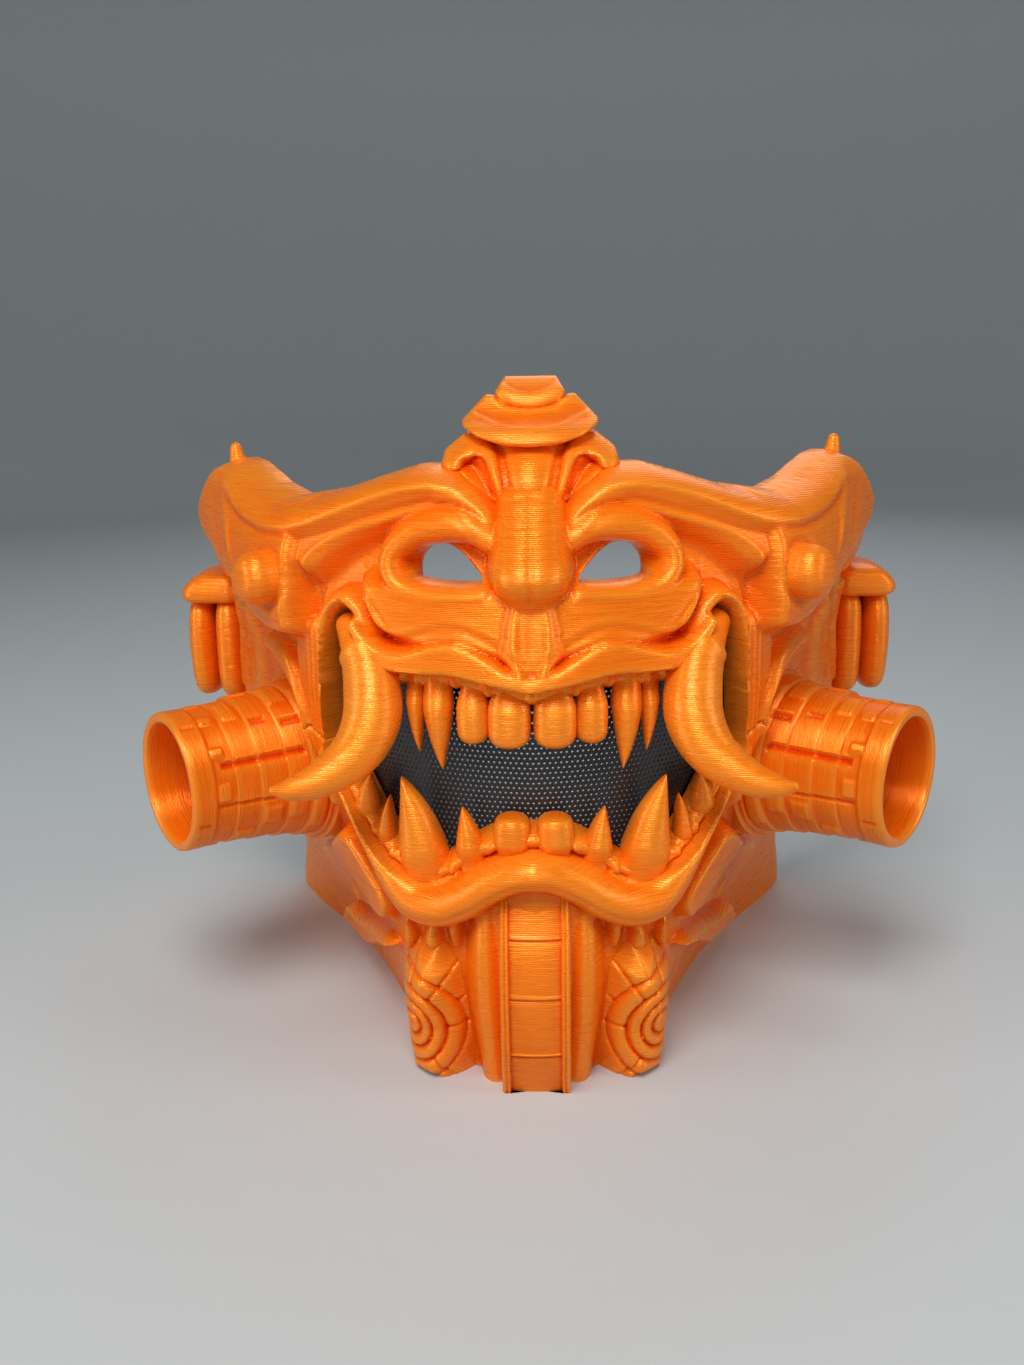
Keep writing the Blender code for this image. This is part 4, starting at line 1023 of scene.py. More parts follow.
@dataclass
class Canister:
    """A hollow tube on the cheek, with stepped bands, slots and small blocks round it."""

    head: HeadForm
    radius: float = 0.018
    angle: float = 63.0
    aim: float = 53.0
    height: float = 0.06804
    seat: float = 0.0016
    segments: int = 216
    step: float = 0.55
    mouth_at: float = 39.9
    floor_at: float = 12.5
    floor_radius: float = 13.8
    hub_radius: float = 3.5
    vane: float = 0.9
    profile: Rows = (
        (-21.0, 22.6), (-6.0, 23.0), (1.6, 23.4), (2.4, 23.4), (2.9, 22.2), (3.8, 22.1), (4.1, 21.2),
        (8.4, 20.9), (8.8, 20.1), (9.4, 20.0), (14.6, 19.7), (15.0, 19.1), (15.7, 19.0),
        (21.8, 18.9), (22.2, 18.5), (22.9, 18.4), (28.2, 18.3), (28.6, 17.9), (29.3, 17.9),
        (33.6, 17.8), (34.2, 18.2), (38.8, 18.25), (39.6, 18.0), (40.0, 17.4), (40.0, 16.3),
        (39.6, 15.7), (38.8, 15.5), (22.0, 15.4), (10.6, 15.2), (10.1, 14.6), (10.0, 13.9),
        (10.9, 12.6), (11.6, 11.2), (11.6, 8.4), (10.6, 7.6), (10.4, 4.4), (11.4, 3.6), (11.6, 0.0),
    )  # fmt: skip
    patches: tuple[Patch, ...] = (
        Patch(9.5, 31.5, 20, 25, -1.1), Patch(8.5, 13.5, 44, 50, -0.9), Patch(17.0, 21.0, 52, 57, -0.9),
        Patch(30.5, 33.6, 30, 38, 0.7), Patch(11.0, 33.0, -12, -9.5, -0.6), Patch(23.5, 27.5, 62, 84, 0.6),
        Patch(9.6, 14.2, 66, 92, 0.6), Patch(16.2, 21.2, -34, -18, 0.5), Patch(30.0, 33.4, -6, 8, 0.5),
        Patch(23.2, 27.8, -52, -40, 0.6), Patch(9.8, 14.0, -30, -4, 0.5), Patch(4.6, 8.0, 10, 34, 0.5),
        Patch(4.6, 8.0, 48, 76, 0.5), Patch(4.6, 8.0, -44, -10, 0.5), Patch(16.0, 21.4, 96, 120, 0.6),
        Patch(29.6, 33.4, 92, 104, 0.6), Patch(9.6, 21.6, 132, 137, -0.8), Patch(23.0, 33.2, 150, 178, 0.5),
        Patch(9.8, 14.2, 196, 230, 0.5), Patch(16.0, 27.6, 250, 256, -0.8), Patch(29.6, 33.4, 262, 286, 0.5),
        Patch(35.0, 38.4, 60, 63, -0.5), Patch(35.0, 38.4, 118, 121, -0.5), Patch(35.0, 38.4, -28, -25, -0.5),
        Patch(35.0, 38.4, 180, 183, -0.5), Patch(35.0, 38.4, 240, 243, -0.5), Patch(30.2, 33.2, 62, 70, 0.8),
    )  # fmt: skip

    def axis(self) -> tuple[Array, Array]:
        """Centre on the base and outward direction of the right canister."""
        place = np.array([[math.radians(self.angle) * self.head.unroll, self.height]])
        aim = math.radians(self.aim)
        centre = self.head.to_space(place, self.head.radius(place))[0]
        return centre, np.array([math.sin(aim), -math.cos(aim), 0])

    def layer_axis(self, side: Side) -> tuple[float, float, float]:
        """The way that the print layers of that side's canister follow each other."""
        aim = math.radians(self.aim)
        return (side.value * math.sin(aim), -math.cos(aim), 0)

    def stepped_profile(self) -> Array:
        """The profile with more rows between its corners, at most a step apart."""
        corners = np.array(self.profile)
        rows = [corners[0]]
        for start, end in zip(corners[:-1], corners[1:]):
            count = max(1, int(np.ceil(np.abs(end - start).max() / self.step)))
            rows += [start + (end - start) * (k + 1) / count for k in range(count)]
        return np.array(rows)

    def build(self, side: Side) -> bpy.types.Object:
        """Makes the tube: its profile turned about the axis, with each patch added to the radius.

        The floor has four vanes, each a bell across. Points that would lie under the seat are
        moved out to it, so the foot follows the cheek.
        """
        rows = self.stepped_profile()
        turns = np.linspace(0, 360, self.segments, endpoint=False)
        along, turn = np.meshgrid(rows[:, 0], turns, indexing="ij")
        away = np.repeat(rows[:, 1:2], self.segments, axis=1)
        outer = (np.arange(len(rows)) < np.argmax(rows[:, 0] >= self.mouth_at))[:, None]
        lift = np.zeros_like(along)
        for patch in self.patches:
            lift = lift + patch.lift(along, turn, self.radius / MM)
        away = np.where(outer, away + lift, away)
        floor = (~outer) & (along < self.floor_at) & (away > 0.1)
        across = np.abs((turn % 90) - 45) * math.pi / 180 * away
        vanes = self.vane * bell(across, 0.0, 1.0)
        vanes = vanes * ease(away - self.hub_radius, 1.5) * ease(self.floor_radius - away, 1.0)
        along = np.where(floor, along + vanes, along)
        centre, axis = self.axis()
        spin = np.radians(turn)[..., None]
        offset = np.cross(axis, UP) * np.cos(spin) + np.array(UP) * np.sin(spin)
        points = centre + axis * (along[..., None] * MM) + offset * (np.maximum(away, 0)[..., None] * MM)
        points = self.head.clamp_outside(points.reshape(-1, 3), self.seat).reshape(points.shape)
        obj = lofted("canister_" + word(side) + "_form", mirrored(points, side))
        smooth_with_edges(obj, 42)
        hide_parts("canister_" + word(side))
        return obj


@dataclass
class Bolt:
    """A domed bolt head in the shoulder, flattened a little in front."""

    head: HeadForm
    radius: float = 0.0066
    angle: float = 45.8
    height: float = 0.1223
    lift: float = 0.0086
    bulge: float = 0.58
    neck: float = 0.3
    crown: float = 0.85
    rings: int = 22
    segments: int = 56

    def build(self, side: Side) -> bpy.types.Object:
        """Makes the dome: radius R cos(t)^b at height R (n + c sin t), on a short neck."""
        place = np.array([[math.radians(self.angle) * self.head.unroll, self.height]])
        foot = self.head.to_space(place, self.head.radius(place) + self.lift)[0]
        aim = math.radians(self.angle)
        axis = np.array([math.sin(aim), -math.cos(aim), 0])
        t = np.linspace(0, math.pi / 2, self.rings)
        away = np.concatenate([[1.0, 1.0], np.clip(np.cos(t), 0, 1) ** self.bulge]) * self.radius
        along = np.concatenate([[-0.5, 0.2], self.neck + self.crown * np.sin(t)]) * self.radius
        turn = full_turn(self.segments)[:, None]
        offset = np.cross(axis, UP) * np.cos(turn) + np.array(UP) * np.sin(turn)
        rings = foot + axis * along[:, None, None] + offset[None] * away[:, None, None]
        obj = lofted("cheek_bolt_" + word(side) + "_form", mirrored(rings, side))
        smooth_with_edges(obj, 50)
        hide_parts("cheek_bolt_" + word(side))
        return obj


@dataclass(frozen=True)
class Tooth:
    """One tooth on the right half: its root, tip and sizes in degrees and mm."""

    root: tuple[float, float]
    tip: tuple[float, float]
    width: float
    depth: float
    pointed: float
    bend: float = 0.0
    out: float = 0.0
    stand: float = 1.4
    blunt_from: float = 0.72
    belly: float = 0.10
    root_share: float = 0.82
    root_ease: float = 0.32

    def profile(self, along: Array) -> Array:
        """Share of the width left at t: blunt and pointed forms mixed, thinner at the root.

        The blunt form is sqrt(1 - c^3.4), with c the share that is passed of the part from
        blunt_from on, and the pointed one follows 1 - t^1.7.
        """
        passed = np.clip((along - self.blunt_from) / (1 - self.blunt_from), 0, 1)
        blunt = np.sqrt(np.clip(1 - passed**3.4, 0, 1))
        sharp = (1 - along**1.7) * 0.97 + 0.03 * np.sqrt(1 - along**8)
        share = (1 - self.pointed) * blunt + self.pointed * sharp
        belly = 1 + self.belly * np.sin(math.pi * along) * (1 - self.pointed)
        root = self.root_share + (1 - self.root_share) * ease(along, self.root_ease)
        return np.maximum(share, 0.015) * belly * root

    def rings(self, head: HeadForm, count: int = 34, around: int = 36) -> Array:
        """Rings of an ellipse carried from inside the gum to the tip.

        Args:
            head: the base that the tooth stands in front of.
            count: number of rings.
            around: points in each ring.

        Returns:
            Points in the frame as (ring, place round the ring, x y z).
        """
        root, tip = head.places((self.root, self.tip))
        last = 1 - 0.14 * np.linspace(1, 0, 11)[1:] ** 1.6
        t = np.concatenate([np.linspace(-0.28, 0.86, count - 10), last])
        axis = tip - root
        side = np.array([axis[1], -axis[0]]) / np.hypot(*axis)
        along = np.clip(t, 0, 1)
        profile = self.profile(along)
        bend = self.bend * MM * np.sin(math.pi * along) * along
        middle = root + t[:, None] * axis + side * bend[:, None]
        turn = full_turn(around)
        base = head.radius(middle) + (self.stand + self.out * along**2) * MM
        across = (np.cos(turn)[None, :] * profile[:, None])[..., None] * self.width * MM
        places = middle[:, None] + side * across
        flat = np.sign(np.sin(turn)) * np.abs(np.sin(turn)) ** (0.8 + 0.2 * self.pointed)
        thick = profile**0.7 * (0.7 + 0.3 * ease(along, 0.35)) * self.depth * MM
        radius = base[:, None] + flat[None, :] * thick[:, None]
        return head.to_space(places.reshape(-1, 2), radius.ravel()).reshape(len(t), around, 3)


@dataclass
class TeethRow:
    """A row of teeth on both sides and the gum that holds them along the mouth's edge."""

    head: HeadForm
    name: str
    teeth: tuple[Tooth, ...]
    mouth: Array
    lowest: float
    highest: float
    widest: float
    strip: float = 4.6
    under_lip: float = 1.6
    gum: float = 4.4
    gum_edge: float = 2.6
    gum_sink: float = 0.4
    ridge: float = 0.9
    ridge_away: float = 0.5
    ridge_width: float = 0.8
    ridge_length: float = 3.5
    cell: float = 0.42

    def gum_region(self, points: Array) -> Array:
        """Depth inside a strip along the mouth's edge, from just under the lip."""
        edge = depth_inside(points, self.mouth) + self.under_lip * MM
        strip = np.minimum(edge, (self.strip + self.under_lip) * MM - edge)
        ends = math.radians(self.widest) * self.head.unroll - np.abs(points[:, 0])
        tall = np.minimum(points[:, 1] - self.lowest * MM, self.highest * MM - points[:, 1])
        return np.minimum(np.minimum(strip, ends), tall)

    def gum_front(self, points: Array) -> Array:
        """Radius of the gum: a round strip, a collar beside each tooth and dips between."""
        half = np.column_stack([np.abs(points[:, 0]), points[:, 1]])
        inside = np.clip(self.gum_region(points), 0, None)
        height = self.gum * MM * np.sqrt(ease(inside, self.gum_edge * MM)) - self.gum_sink * MM
        for tooth in self.teeth:
            root, tip = self.head.places((tooth.root, tooth.tip))
            axis = (tip - root) / np.hypot(*(tip - root))
            along = (half - root) @ axis
            across = np.abs((half - root) @ np.array([axis[1], -axis[0]]))
            away = np.hypot(across, np.clip(-along - 0.2 * MM, 0, None)) - tooth.width * MM
            ridge = self.ridge * MM * bell(away, self.ridge_away * MM, self.ridge_width * MM)
            ends = ease(self.ridge_length * MM - along, 2.0 * MM) * ease(inside, 1.0 * MM)
            height = height + ridge * ends
        return self.head.radius(points) + height

    def build(self) -> bpy.types.Object:
        """Makes the gum and the teeth, and joins them into one piece."""
        reach = math.radians(self.widest) * self.head.unroll + MM
        us = grid_lines(-reach, reach, self.cell * MM)
        vs = grid_lines(self.lowest - 1, self.highest + 1, self.cell) * MM
        wall = Sheet(self.head.to_space, self.gum_region, self.gum_front, self.head.back)
        parts = [wall.build(self.name + "_form", us, vs)]
        for side in Side:
            for k, tooth in enumerate(self.teeth):
                rings = mirrored(tooth.rings(self.head), side)
                parts.append(lofted(f"{self.name}_{word(side)}_{k}", rings))
        obj = joined(parts)
        smooth_with_edges(obj, 60)
        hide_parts(self.name)
        return obj


def joined(parts: list[bpy.types.Object]) -> bpy.types.Object:
    """Joins the parts' meshes into the first part and removes the others."""
    work = bmesh.new()
    for part in parts:
        work.from_mesh(part.data)
    work.to_mesh(parts[0].data)
    work.free()
    for part in parts[1:]:
        bpy.data.objects.remove(part)
    return parts[0]


@dataclass
class MouthScreen:
    """The black sheet behind the mouth, pierced by a close pattern of six-sided holes."""

    head: HeadForm
    pitch: float = 0.00142
    hole: float = 0.45
    gap: float = 0.0006
    thickness: float = 0.0009
    edge: Rows = (
        (0, 109.2), (20, 110.9), (34, 119.3), (40, 110.9), (42, 84), (36, 67.2), (24, 50.4),
        (12, 48.7), (0, 55.4),
    )  # fmt: skip

    def build(self) -> bpy.types.Object:
        """Makes the sheet of six-sided rings whose centres lie inside the outline.

        Ring k of row l has its centre at (p k, p l sqrt(3) / 2), and odd rows are moved by p / 2.
        A ring shares its outer corners with its neighbours, and its inner ones lie at the hole's
        share of them.
        """
        outline = closed_by_mirror(self.head.places(self.edge))
        low, high = outline.min(axis=0), outline.max(axis=0)
        rise = self.pitch * math.sqrt(3) / 2
        rows = np.arange(int(np.floor(low[1] / rise)), int(np.ceil(high[1] / rise)) + 1)
        wide = int(np.ceil(high[0] / self.pitch)) + 1
        k, row = (a.ravel() for a in np.meshgrid(np.arange(-wide, wide), rows, indexing="ij"))
        centres = np.column_stack([self.pitch * (k + 0.5 * (row % 2)), rise * row])
        centres = centres[depth_inside(centres, outline) > 0.4 * self.pitch]
        turn = np.radians(np.arange(6) * 60 + 30)
        corner = np.column_stack([np.cos(turn), np.sin(turn)]) * self.pitch / math.sqrt(3)
        outer = (centres[:, None] + corner).reshape(-1, 2)
        inner = (centres[:, None] + corner * self.hole).reshape(-1, 2)
        key = np.round(outer / (self.pitch * 0.01)).astype(np.int64)
        _, first, where = np.unique(key, axis=0, return_index=True, return_inverse=True)
        places = np.vstack([outer[first], inner])
        count, shared = len(places), len(first)
        a = where.reshape(-1)
        c = shared + np.arange(len(inner))
        b, d = (np.roll(ends.reshape(-1, 6), -1, axis=1).ravel() for ends in (a, c))
        front = np.column_stack([a, b, d, c])
        walls = np.column_stack([c, d, d + count, c + count])
        forth = a.astype(np.int64) * shared + b
        alone = ~np.isin(forth, b.astype(np.int64) * shared + a)
        rim = np.column_stack([b, a, a + count, b + count])[alone]
        radius = self.head.back(places) - self.gap
        points = [self.head.to_space(places, r) for r in (radius, radius - self.thickness)]
        faces = np.vstack([front, front[:, ::-1] + count, walls, rim])
        obj = mesh_object("mesh_screen_form", np.vstack(points), faces.tolist())
        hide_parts("mesh_screen")
        return obj


@dataclass
class CrestPlate:
    """One plate of the crest, drawn from the front in mm and leaning back as it rises."""

    head: HeadForm
    name: str
    outline: Rows
    lean: Rows
    bow: float
    thickness: float
    strokes: tuple[tuple[Rows, Blend], ...]
    rim: float = 0.0009
    cell: float = 0.00036
    margin: float = 0.0006

    def bare(self, points: Array) -> Array:
        """Forward reach at (x, z) without the strokes: the lean's curve less bow x^2."""
        rows = np.array(self.lean, float) * MM
        depth = smooth_rows(rows[:, 0], rows[:, 1], points[:, 1])
        return -(depth + self.head.origin_y) - self.bow * points[:, 0] ** 2

    def front(self, points: Array) -> Array:
        """The bare reach plus the highest roll, with the lines added."""
        half = np.column_stack([np.abs(points[:, 0]), points[:, 1]])
        height = np.zeros(len(points))
        for rows, blend in self.strokes:
            lift = stroke_height(half, curve_through(np.array(rows, float) * MM), blend)
            height = height + lift if blend is Blend.LINE else np.maximum(height, lift)
        return self.bare(points) + height

    def back(self, points: Array) -> Array:
        """The bare reach less the thickness."""
        return self.bare(points) - self.thickness * MM

    def build(self) -> bpy.types.Object:
        """Makes the plate and hides the solid that it stands for."""
        loop = closed_by_mirror(np.array(self.outline, float) * MM)
        low, high = loop.min(axis=0) - self.margin, loop.max(axis=0) + self.margin
        us, vs = (grid_lines(low[k], high[k], self.cell) for k in (0, 1))
        wall = Sheet(lambda p, reach: np.column_stack([p[:, 0], -reach, p[:, 1]]),
                     lambda p: depth_inside(p, loop), self.front, self.back, self.rim)  # fmt: skip
        obj = wall.build(self.name + "_form", us, vs)
        smooth_with_edges(obj, 50)
        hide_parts(self.name)
        return obj


@dataclass
class ChinBand:
    """The ribbed strap over the chin: double rails, crowned panels and thin rungs.

    A row of the path is z in mask heights and y in head radii, from the lip to the floor.
    """

    head: HeadForm
    width: float = 0.0165
    rail: float = 0.0014
    seat: float = 0.0016
    panel: float = 6.0
    crown: float = 0.55
    groove: float = 0.30
    groove_at: float = 7.1
    groove_width: float = 0.22
    edge_drop: float = 0.55
    edge_at: float = 7.8
    rung: float = 0.40
    rung_groove: float = -1.9
    rungs: tuple[float, ...] = (42.0, 28.1, 12.3)
    rings: int = 150
    across: int = 67
    path: Rows = (
        (0.315, 0.005), (0.27, -0.032), (0.22, -0.062), (0.16, -0.074), (0.10, -0.066), (0.05, -0.040),
        (0.0, -0.005),
    )  # fmt: skip

    def relief(self, x: Array, z: Array) -> Array:
        """How far the band stands out, in mm, at shares x of its half width and heights z.

        Two rails, each with a fine groove and a dropped edge, stand beside a crowned floor, and
        each rung is a bell with a groove under it.
        """
        mm = np.abs(x) * self.width / 2 / MM
        groove = self.groove * bell(mm, self.groove_at, self.groove_width)
        rails = ease(mm - self.panel, 0.35) - groove - self.edge_drop * ease(mm - self.edge_at, 0.4)
        floor = 1 - ease(mm - 5.9, 0.3)
        crown = self.crown * (1 - (mm / self.panel) ** 2) * floor
        out = self.rail / MM * (rails[None, :] - 1) + crown[None, :]
        for level in self.rungs:
            near = (z[:, None] / MM - level) / self.rung
            ridge = self.rung * (bell(near, 0.0, 1.0) - bell(near, self.rung_groove, 1.0))
            out = out + floor[None, :] * ridge
        return out

    def build(self) -> bpy.types.Object:
        """Makes the band: its profile across, carried down the path, with a flat back."""
        head = self.head
        rows = resampled(self.path, self.rings)
        z, y = rows[:, 0] * head.height, rows[:, 1] * head.head_radius
        x = np.linspace(-1, 1, self.across)
        front = y[:, None] + head.origin_y - self.relief(x, z) * MM
        seat = head.radius(np.column_stack([np.zeros(len(z)), z])) - self.seat
        back = np.repeat((head.axis_y - seat)[:, None], len(x[::-6]), axis=1)
        halves = []
        for share, depth in ((x, front), (x[::-6], back)):
            wide = np.repeat((share * self.width / 2)[None], len(z), axis=0)
            tall = np.repeat(z[:, None], len(share), axis=1)
            halves.append(np.stack([wide, depth, tall], -1))
        obj = lofted("chin_band_form", np.concatenate(halves, axis=1))
        smooth_with_edges(obj, 50)
        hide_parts("chin_band")
        return obj


@dataclass
class ChinPod:
    """A pod beside the chin: a dome with shell rings round a centre and splits across them.

    A split is its angle in degrees, and where it starts and ends from the centre in mm.
    """

    head: HeadForm
    dome: float = 8.93
    dome_edge: float = 10.5
    crown: float = 0.55
    ring_step: float = 0.22
    ring_groove: tuple[float, float] = (0.75, 0.42)
    split_groove: tuple[float, float] = (0.7, 0.4)
    swell: float = 0.4
    swell_below: float = 0.016
    centre: tuple[float, float] = (20.6, 14.3)
    rings: tuple[float, ...] = (2.9, 6.0, 9.4, 13.6)
    splits: tuple[tuple[float, float, float], ...] = (
        (178, 9.4, 30), (128, 9.4, 30), (232, 9.4, 30), (96, 9.4, 30), (152, 13.6, 30), (75, 13.6, 30),
    )  # fmt: skip
    outline: Rows = (
        (11.5, -6.7), (11.0, 8.0), (11.2, 17), (12, 31.1), (15, 37.8), (20, 36.1), (24.5, 28.6),
        (26.5, 16.8), (26.5, 6.7), (25.5, -6.7),
    )  # fmt: skip
    cell: float = 0.00042
    seat: float = 0.0016

    def depth(self, points: Array) -> Array:
        """How far inside the pod's outline the points are."""
        return depth_inside(points, self.head.places(self.outline)[:, :2])

    def height(self, points: Array) -> Array:
        """The dome's root-eased height, less grooves at the rings and splits, plus crowns.

        The dome stands out further towards its foot.
        """
        edge = self.depth(points) / MM
        centre = self.head.places((self.centre,))[0]
        offset = (points - centre) * (1.0, 0.9) / MM
        away = np.hypot(*offset.T)
        turn = np.degrees(np.arctan2(offset[:, 1], offset[:, 0])) % 360
        swell = 1 + self.swell * ease(self.swell_below - points[:, 1], self.swell_below)
        lift = self.dome * np.sqrt(ease(edge, self.dome_edge)) * swell
        ring_deep, ring_wide = self.ring_groove
        split_deep, split_wide = self.split_groove
        inner = 0.0
        for outer in self.rings:
            middle, half = 0.5 * (inner + outer), 0.5 * (outer - inner)
            inside = (away >= inner) & (away < outer)
            lift = lift + np.where(inside, self.crown * (1 - ((away - middle) / half) ** 2), 0)
            lift = lift - ring_deep * bell(away, outer, ring_wide) + self.ring_step * (away < outer)
            inner = outer
        for angle, start, end in self.splits:
            across = np.abs((turn - angle + 180) % 360 - 180) * math.pi / 180 * away
            along = (away > start) & (away < end)
            lift = lift - split_deep * bell(across, 0.0, split_wide) * along
        return lift * MM * ease(edge, 0.25)

    def front(self, points: Array) -> Array:
        """Radius of the pod's outer side."""
        return self.head.radius(points) + self.height(points)

    def foot(self, points: Array) -> Array:
        """Radius of the pod's seat in the shell."""
        return self.head.radius(points) - self.seat

    def build(self, side: Side) -> bpy.types.Object:
        """Makes the pod between its relief and its seat, and mirrors it for the left."""
        loop = self.head.places(self.outline)[:, :2]
        low, high = loop.min(axis=0) - self.cell, loop.max(axis=0) + self.cell
        low[1] = max(low[1], 0.0)
        us, vs = (grid_lines(low[k], high[k], self.cell) for k in (0, 1))
        name = "chin_pod_" + word(side)
        wall = Sheet(self.head.to_space, self.depth, self.front, self.foot)
        obj = wall.build(name + "_form", us, vs)
        if side is Side.LEFT:
            mirror_mesh(obj)
        smooth_with_edges(obj, 50)
        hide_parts(name)
        return obj


@dataclass
class EarGuard:
    """Two upright rounded lobes side by side under a thick cap.

    A block is rows of (x, y, half width, half depth, height) in mm on the right, and how
    square its plan is.
    """

    head: HeadForm
    blocks: tuple[tuple[Rows, float], ...] = (
        (((93.4, 111.5, 4.5, 12.5, 71.5), (93.4, 111.5, 4.8, 12.5, 88.0),
          (93.6, 112.0, 4.4, 12.0, 103.5)), 2.6),
        (((102.2, 113.0, 4.2, 11.0, 71.8), (102.5, 113.5, 4.6, 12.5, 88.0),
          (102.2, 113.0, 4.2, 12.0, 103.0)), 2.4),
        (((97.2, 112.5, 9.2, 13.2, 101.2), (97.6, 112.5, 9.5, 13.5, 105.6),
          (95.6, 112.0, 6.6, 11.6, 111.0)), 4.5),
    )  # fmt: skip
    rings: int = 40
    around: int = 64

    def block(self, name: str, rows: Rows, square: float) -> bpy.types.Object:
        """A column through the rows, closed at both ends.

        Its plan is |x|^n + |y|^n = 1 with n the squareness, and near each end both half sizes
        shrink by (1 - s^6)^(1 / 3), with s from -1 to 1 along the column.

        Args:
            name: the block's name.
            rows: x, y, half width, half depth and height in mm.
            square: the squareness n.

        Returns:
            The block in the frame.
        """
        s = np.sin(np.linspace(-math.pi / 2, math.pi / 2, self.rings))
        rows = np.array(rows, float)
        values = smooth_rows(np.linspace(-1, 1, len(rows)), rows, s)
        turn = full_turn(self.around)
        plan = [np.sign(f) * np.abs(f) ** (2 / square) for f in (np.cos(turn), np.sin(turn))]
        size = np.clip(1 - np.abs(s) ** 6, 0, 1)[:, None] ** (1 / 3)
        x = values[:, :1] + values[:, 2:3] * size * plan[0]
        y = values[:, 1:2] + values[:, 3:4] * size * plan[1]
        z = np.repeat(values[:, 4:5], self.around, axis=1)
        return lofted(name, np.stack([x, y, z], -1) * MM + self.head.drawing_shift)

    def build(self, side: Side) -> bpy.types.Object:
        """Makes the guard's blocks for that side and joins them."""
        name = "ear_guard_" + word(side)
        obj = joined([self.block(f"{name}_{k}", *block) for k, block in enumerate(self.blocks)])
        obj.name = name + "_form"
        if side is Side.LEFT:
            mirror_mesh(obj)
        smooth_with_edges(obj, 50)
        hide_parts(name)
        return obj


Tree = bpy.types.NodeTree
Socket = bpy.types.NodeSocket


def socket_group(name: str, inputs: dict, outputs: dict) -> tuple[Tree, dict, bpy.types.Node]:
    """A new shader node group with named sockets.

    Args:
        name: the group's name.
        inputs: name of each input and its starting value; a tuple of four is a colour.
        outputs: name of each output and its kind, such as NodeSocketFloat.

    Returns:
        The group, its inputs by name and its output node.
    """
    tree = bpy.data.node_groups.new(name, "ShaderNodeTree")
    for key, value in inputs.items():
        kind = "NodeSocketFloat"
        if isinstance(value, tuple):
            kind = "NodeSocketColor" if len(value) == 4 else "NodeSocketVector"
        tree.interface.new_socket(name=key, in_out="INPUT", socket_type=kind).default_value = value
    for key, kind in outputs.items():
        tree.interface.new_socket(name=key, in_out="OUTPUT", socket_type=kind)
    given = {socket.name: socket for socket in tree.nodes.new("NodeGroupInput").outputs if socket.name}
    return tree, given, tree.nodes.new("NodeGroupOutput")


def connect(tree: Tree, made: bpy.types.Node, inputs: dict) -> bpy.types.Node:
    """Links the node's inputs that are given as sockets, and sets those given as values."""
    for key, value in inputs.items():
        if isinstance(value, Socket):
            tree.links.new(value, made.inputs[key])
        else:
            made.inputs[key].default_value = value
    return made


def node(tree: Tree, kind: str, inputs: dict | None = None, **settings) -> bpy.types.Node:
    """A node with its settings made and its inputs set or linked."""
    made = tree.nodes.new("ShaderNode" + kind)
    for key, value in settings.items():
        setattr(made, key, value)
    return connect(tree, made, inputs or {})


def placed_group(tree: Tree, group: Tree, inputs: dict) -> bpy.types.Node:
    """A node that places the group in the tree with the given inputs."""
    made = tree.nodes.new("ShaderNodeGroup")
    made.node_tree = group
    return connect(tree, made, inputs)


def math_node(tree: Tree, operation: str, *values) -> Socket:
    """The result of a Math node on one to three values or sockets."""
    return node(tree, "Math", dict(enumerate(values)), operation=operation).outputs[0]


def noise(tree: Tree, place: Socket, scale: Socket | float, **more) -> Socket:
    """The value of a noise texture at the place."""
    return node(tree, "TexNoise", {"Vector": place, "Scale": scale} | more).outputs[0]


def ramp(tree: Tree, value: Socket, start: float, end: float) -> Socket:
    """0 to 1 as the value goes from start to end, held outside."""
    return node(tree, "MapRange", {"Value": value, "From Min": start, "From Max": end}).outputs[0]


def mixed(tree: Tree, share: Socket, first: Socket | tuple, second: Socket | tuple) -> Socket:
    """The first colour moved towards the second by the share."""
    return node(tree, "Mix", {0: share, 6: first, 7: second}, data_type="RGBA").outputs[2]


def layer_group() -> Tree:
    """Print layers: fine beads along the layer distance, uneven and streaked along each layer.

    Height is 0.5 sin(2 pi layer / pitch) bead, plus noise drawn out along the layers.
    """
    tree, given, out = socket_group(
        "Print layers",
        {"Layer": 0.0, "Pitch": 0.4, "Bead": 0.3, "Streak": 0.6, "Length": 90.0},
        {"Height": "NodeSocketFloat", "Streaks": "NodeSocketFloat"},
    )
    parts = node(tree, "SeparateXYZ", {0: node(tree, "TexCoord").outputs["Object"]})
    far = [math_node(tree, "MULTIPLY", parts.outputs[k], given["Length"]) for k in (0, 1)]
    near = math_node(tree, "MULTIPLY", given["Layer"], 3.2)
    wide = math_node(tree, "MULTIPLY", near, 0.28)
    drawn, long = (node(tree, "CombineXYZ", {0: far[0], 1: far[1], 2: z}).outputs[0] for z in (near, wide))
    streaks = noise(tree, drawn, 1.0, Detail=3.0, Roughness=0.62)
    broad = noise(tree, long, 1.0, Detail=2.0)
    turn = math_node(tree, "MULTIPLY", given["Layer"], 2 * math.pi)
    wave = math_node(tree, "SINE", math_node(tree, "DIVIDE", turn, given["Pitch"]))
    bead = math_node(tree, "MULTIPLY", wave, math_node(tree, "MULTIPLY", given["Bead"], 0.5))
    both = math_node(tree, "ADD", streaks, math_node(tree, "MULTIPLY", broad, 0.25))
    height = math_node(tree, "MULTIPLY_ADD", both, given["Streak"], bead)
    connect(tree, out, {"Height": height, "Streaks": streaks})
    return tree


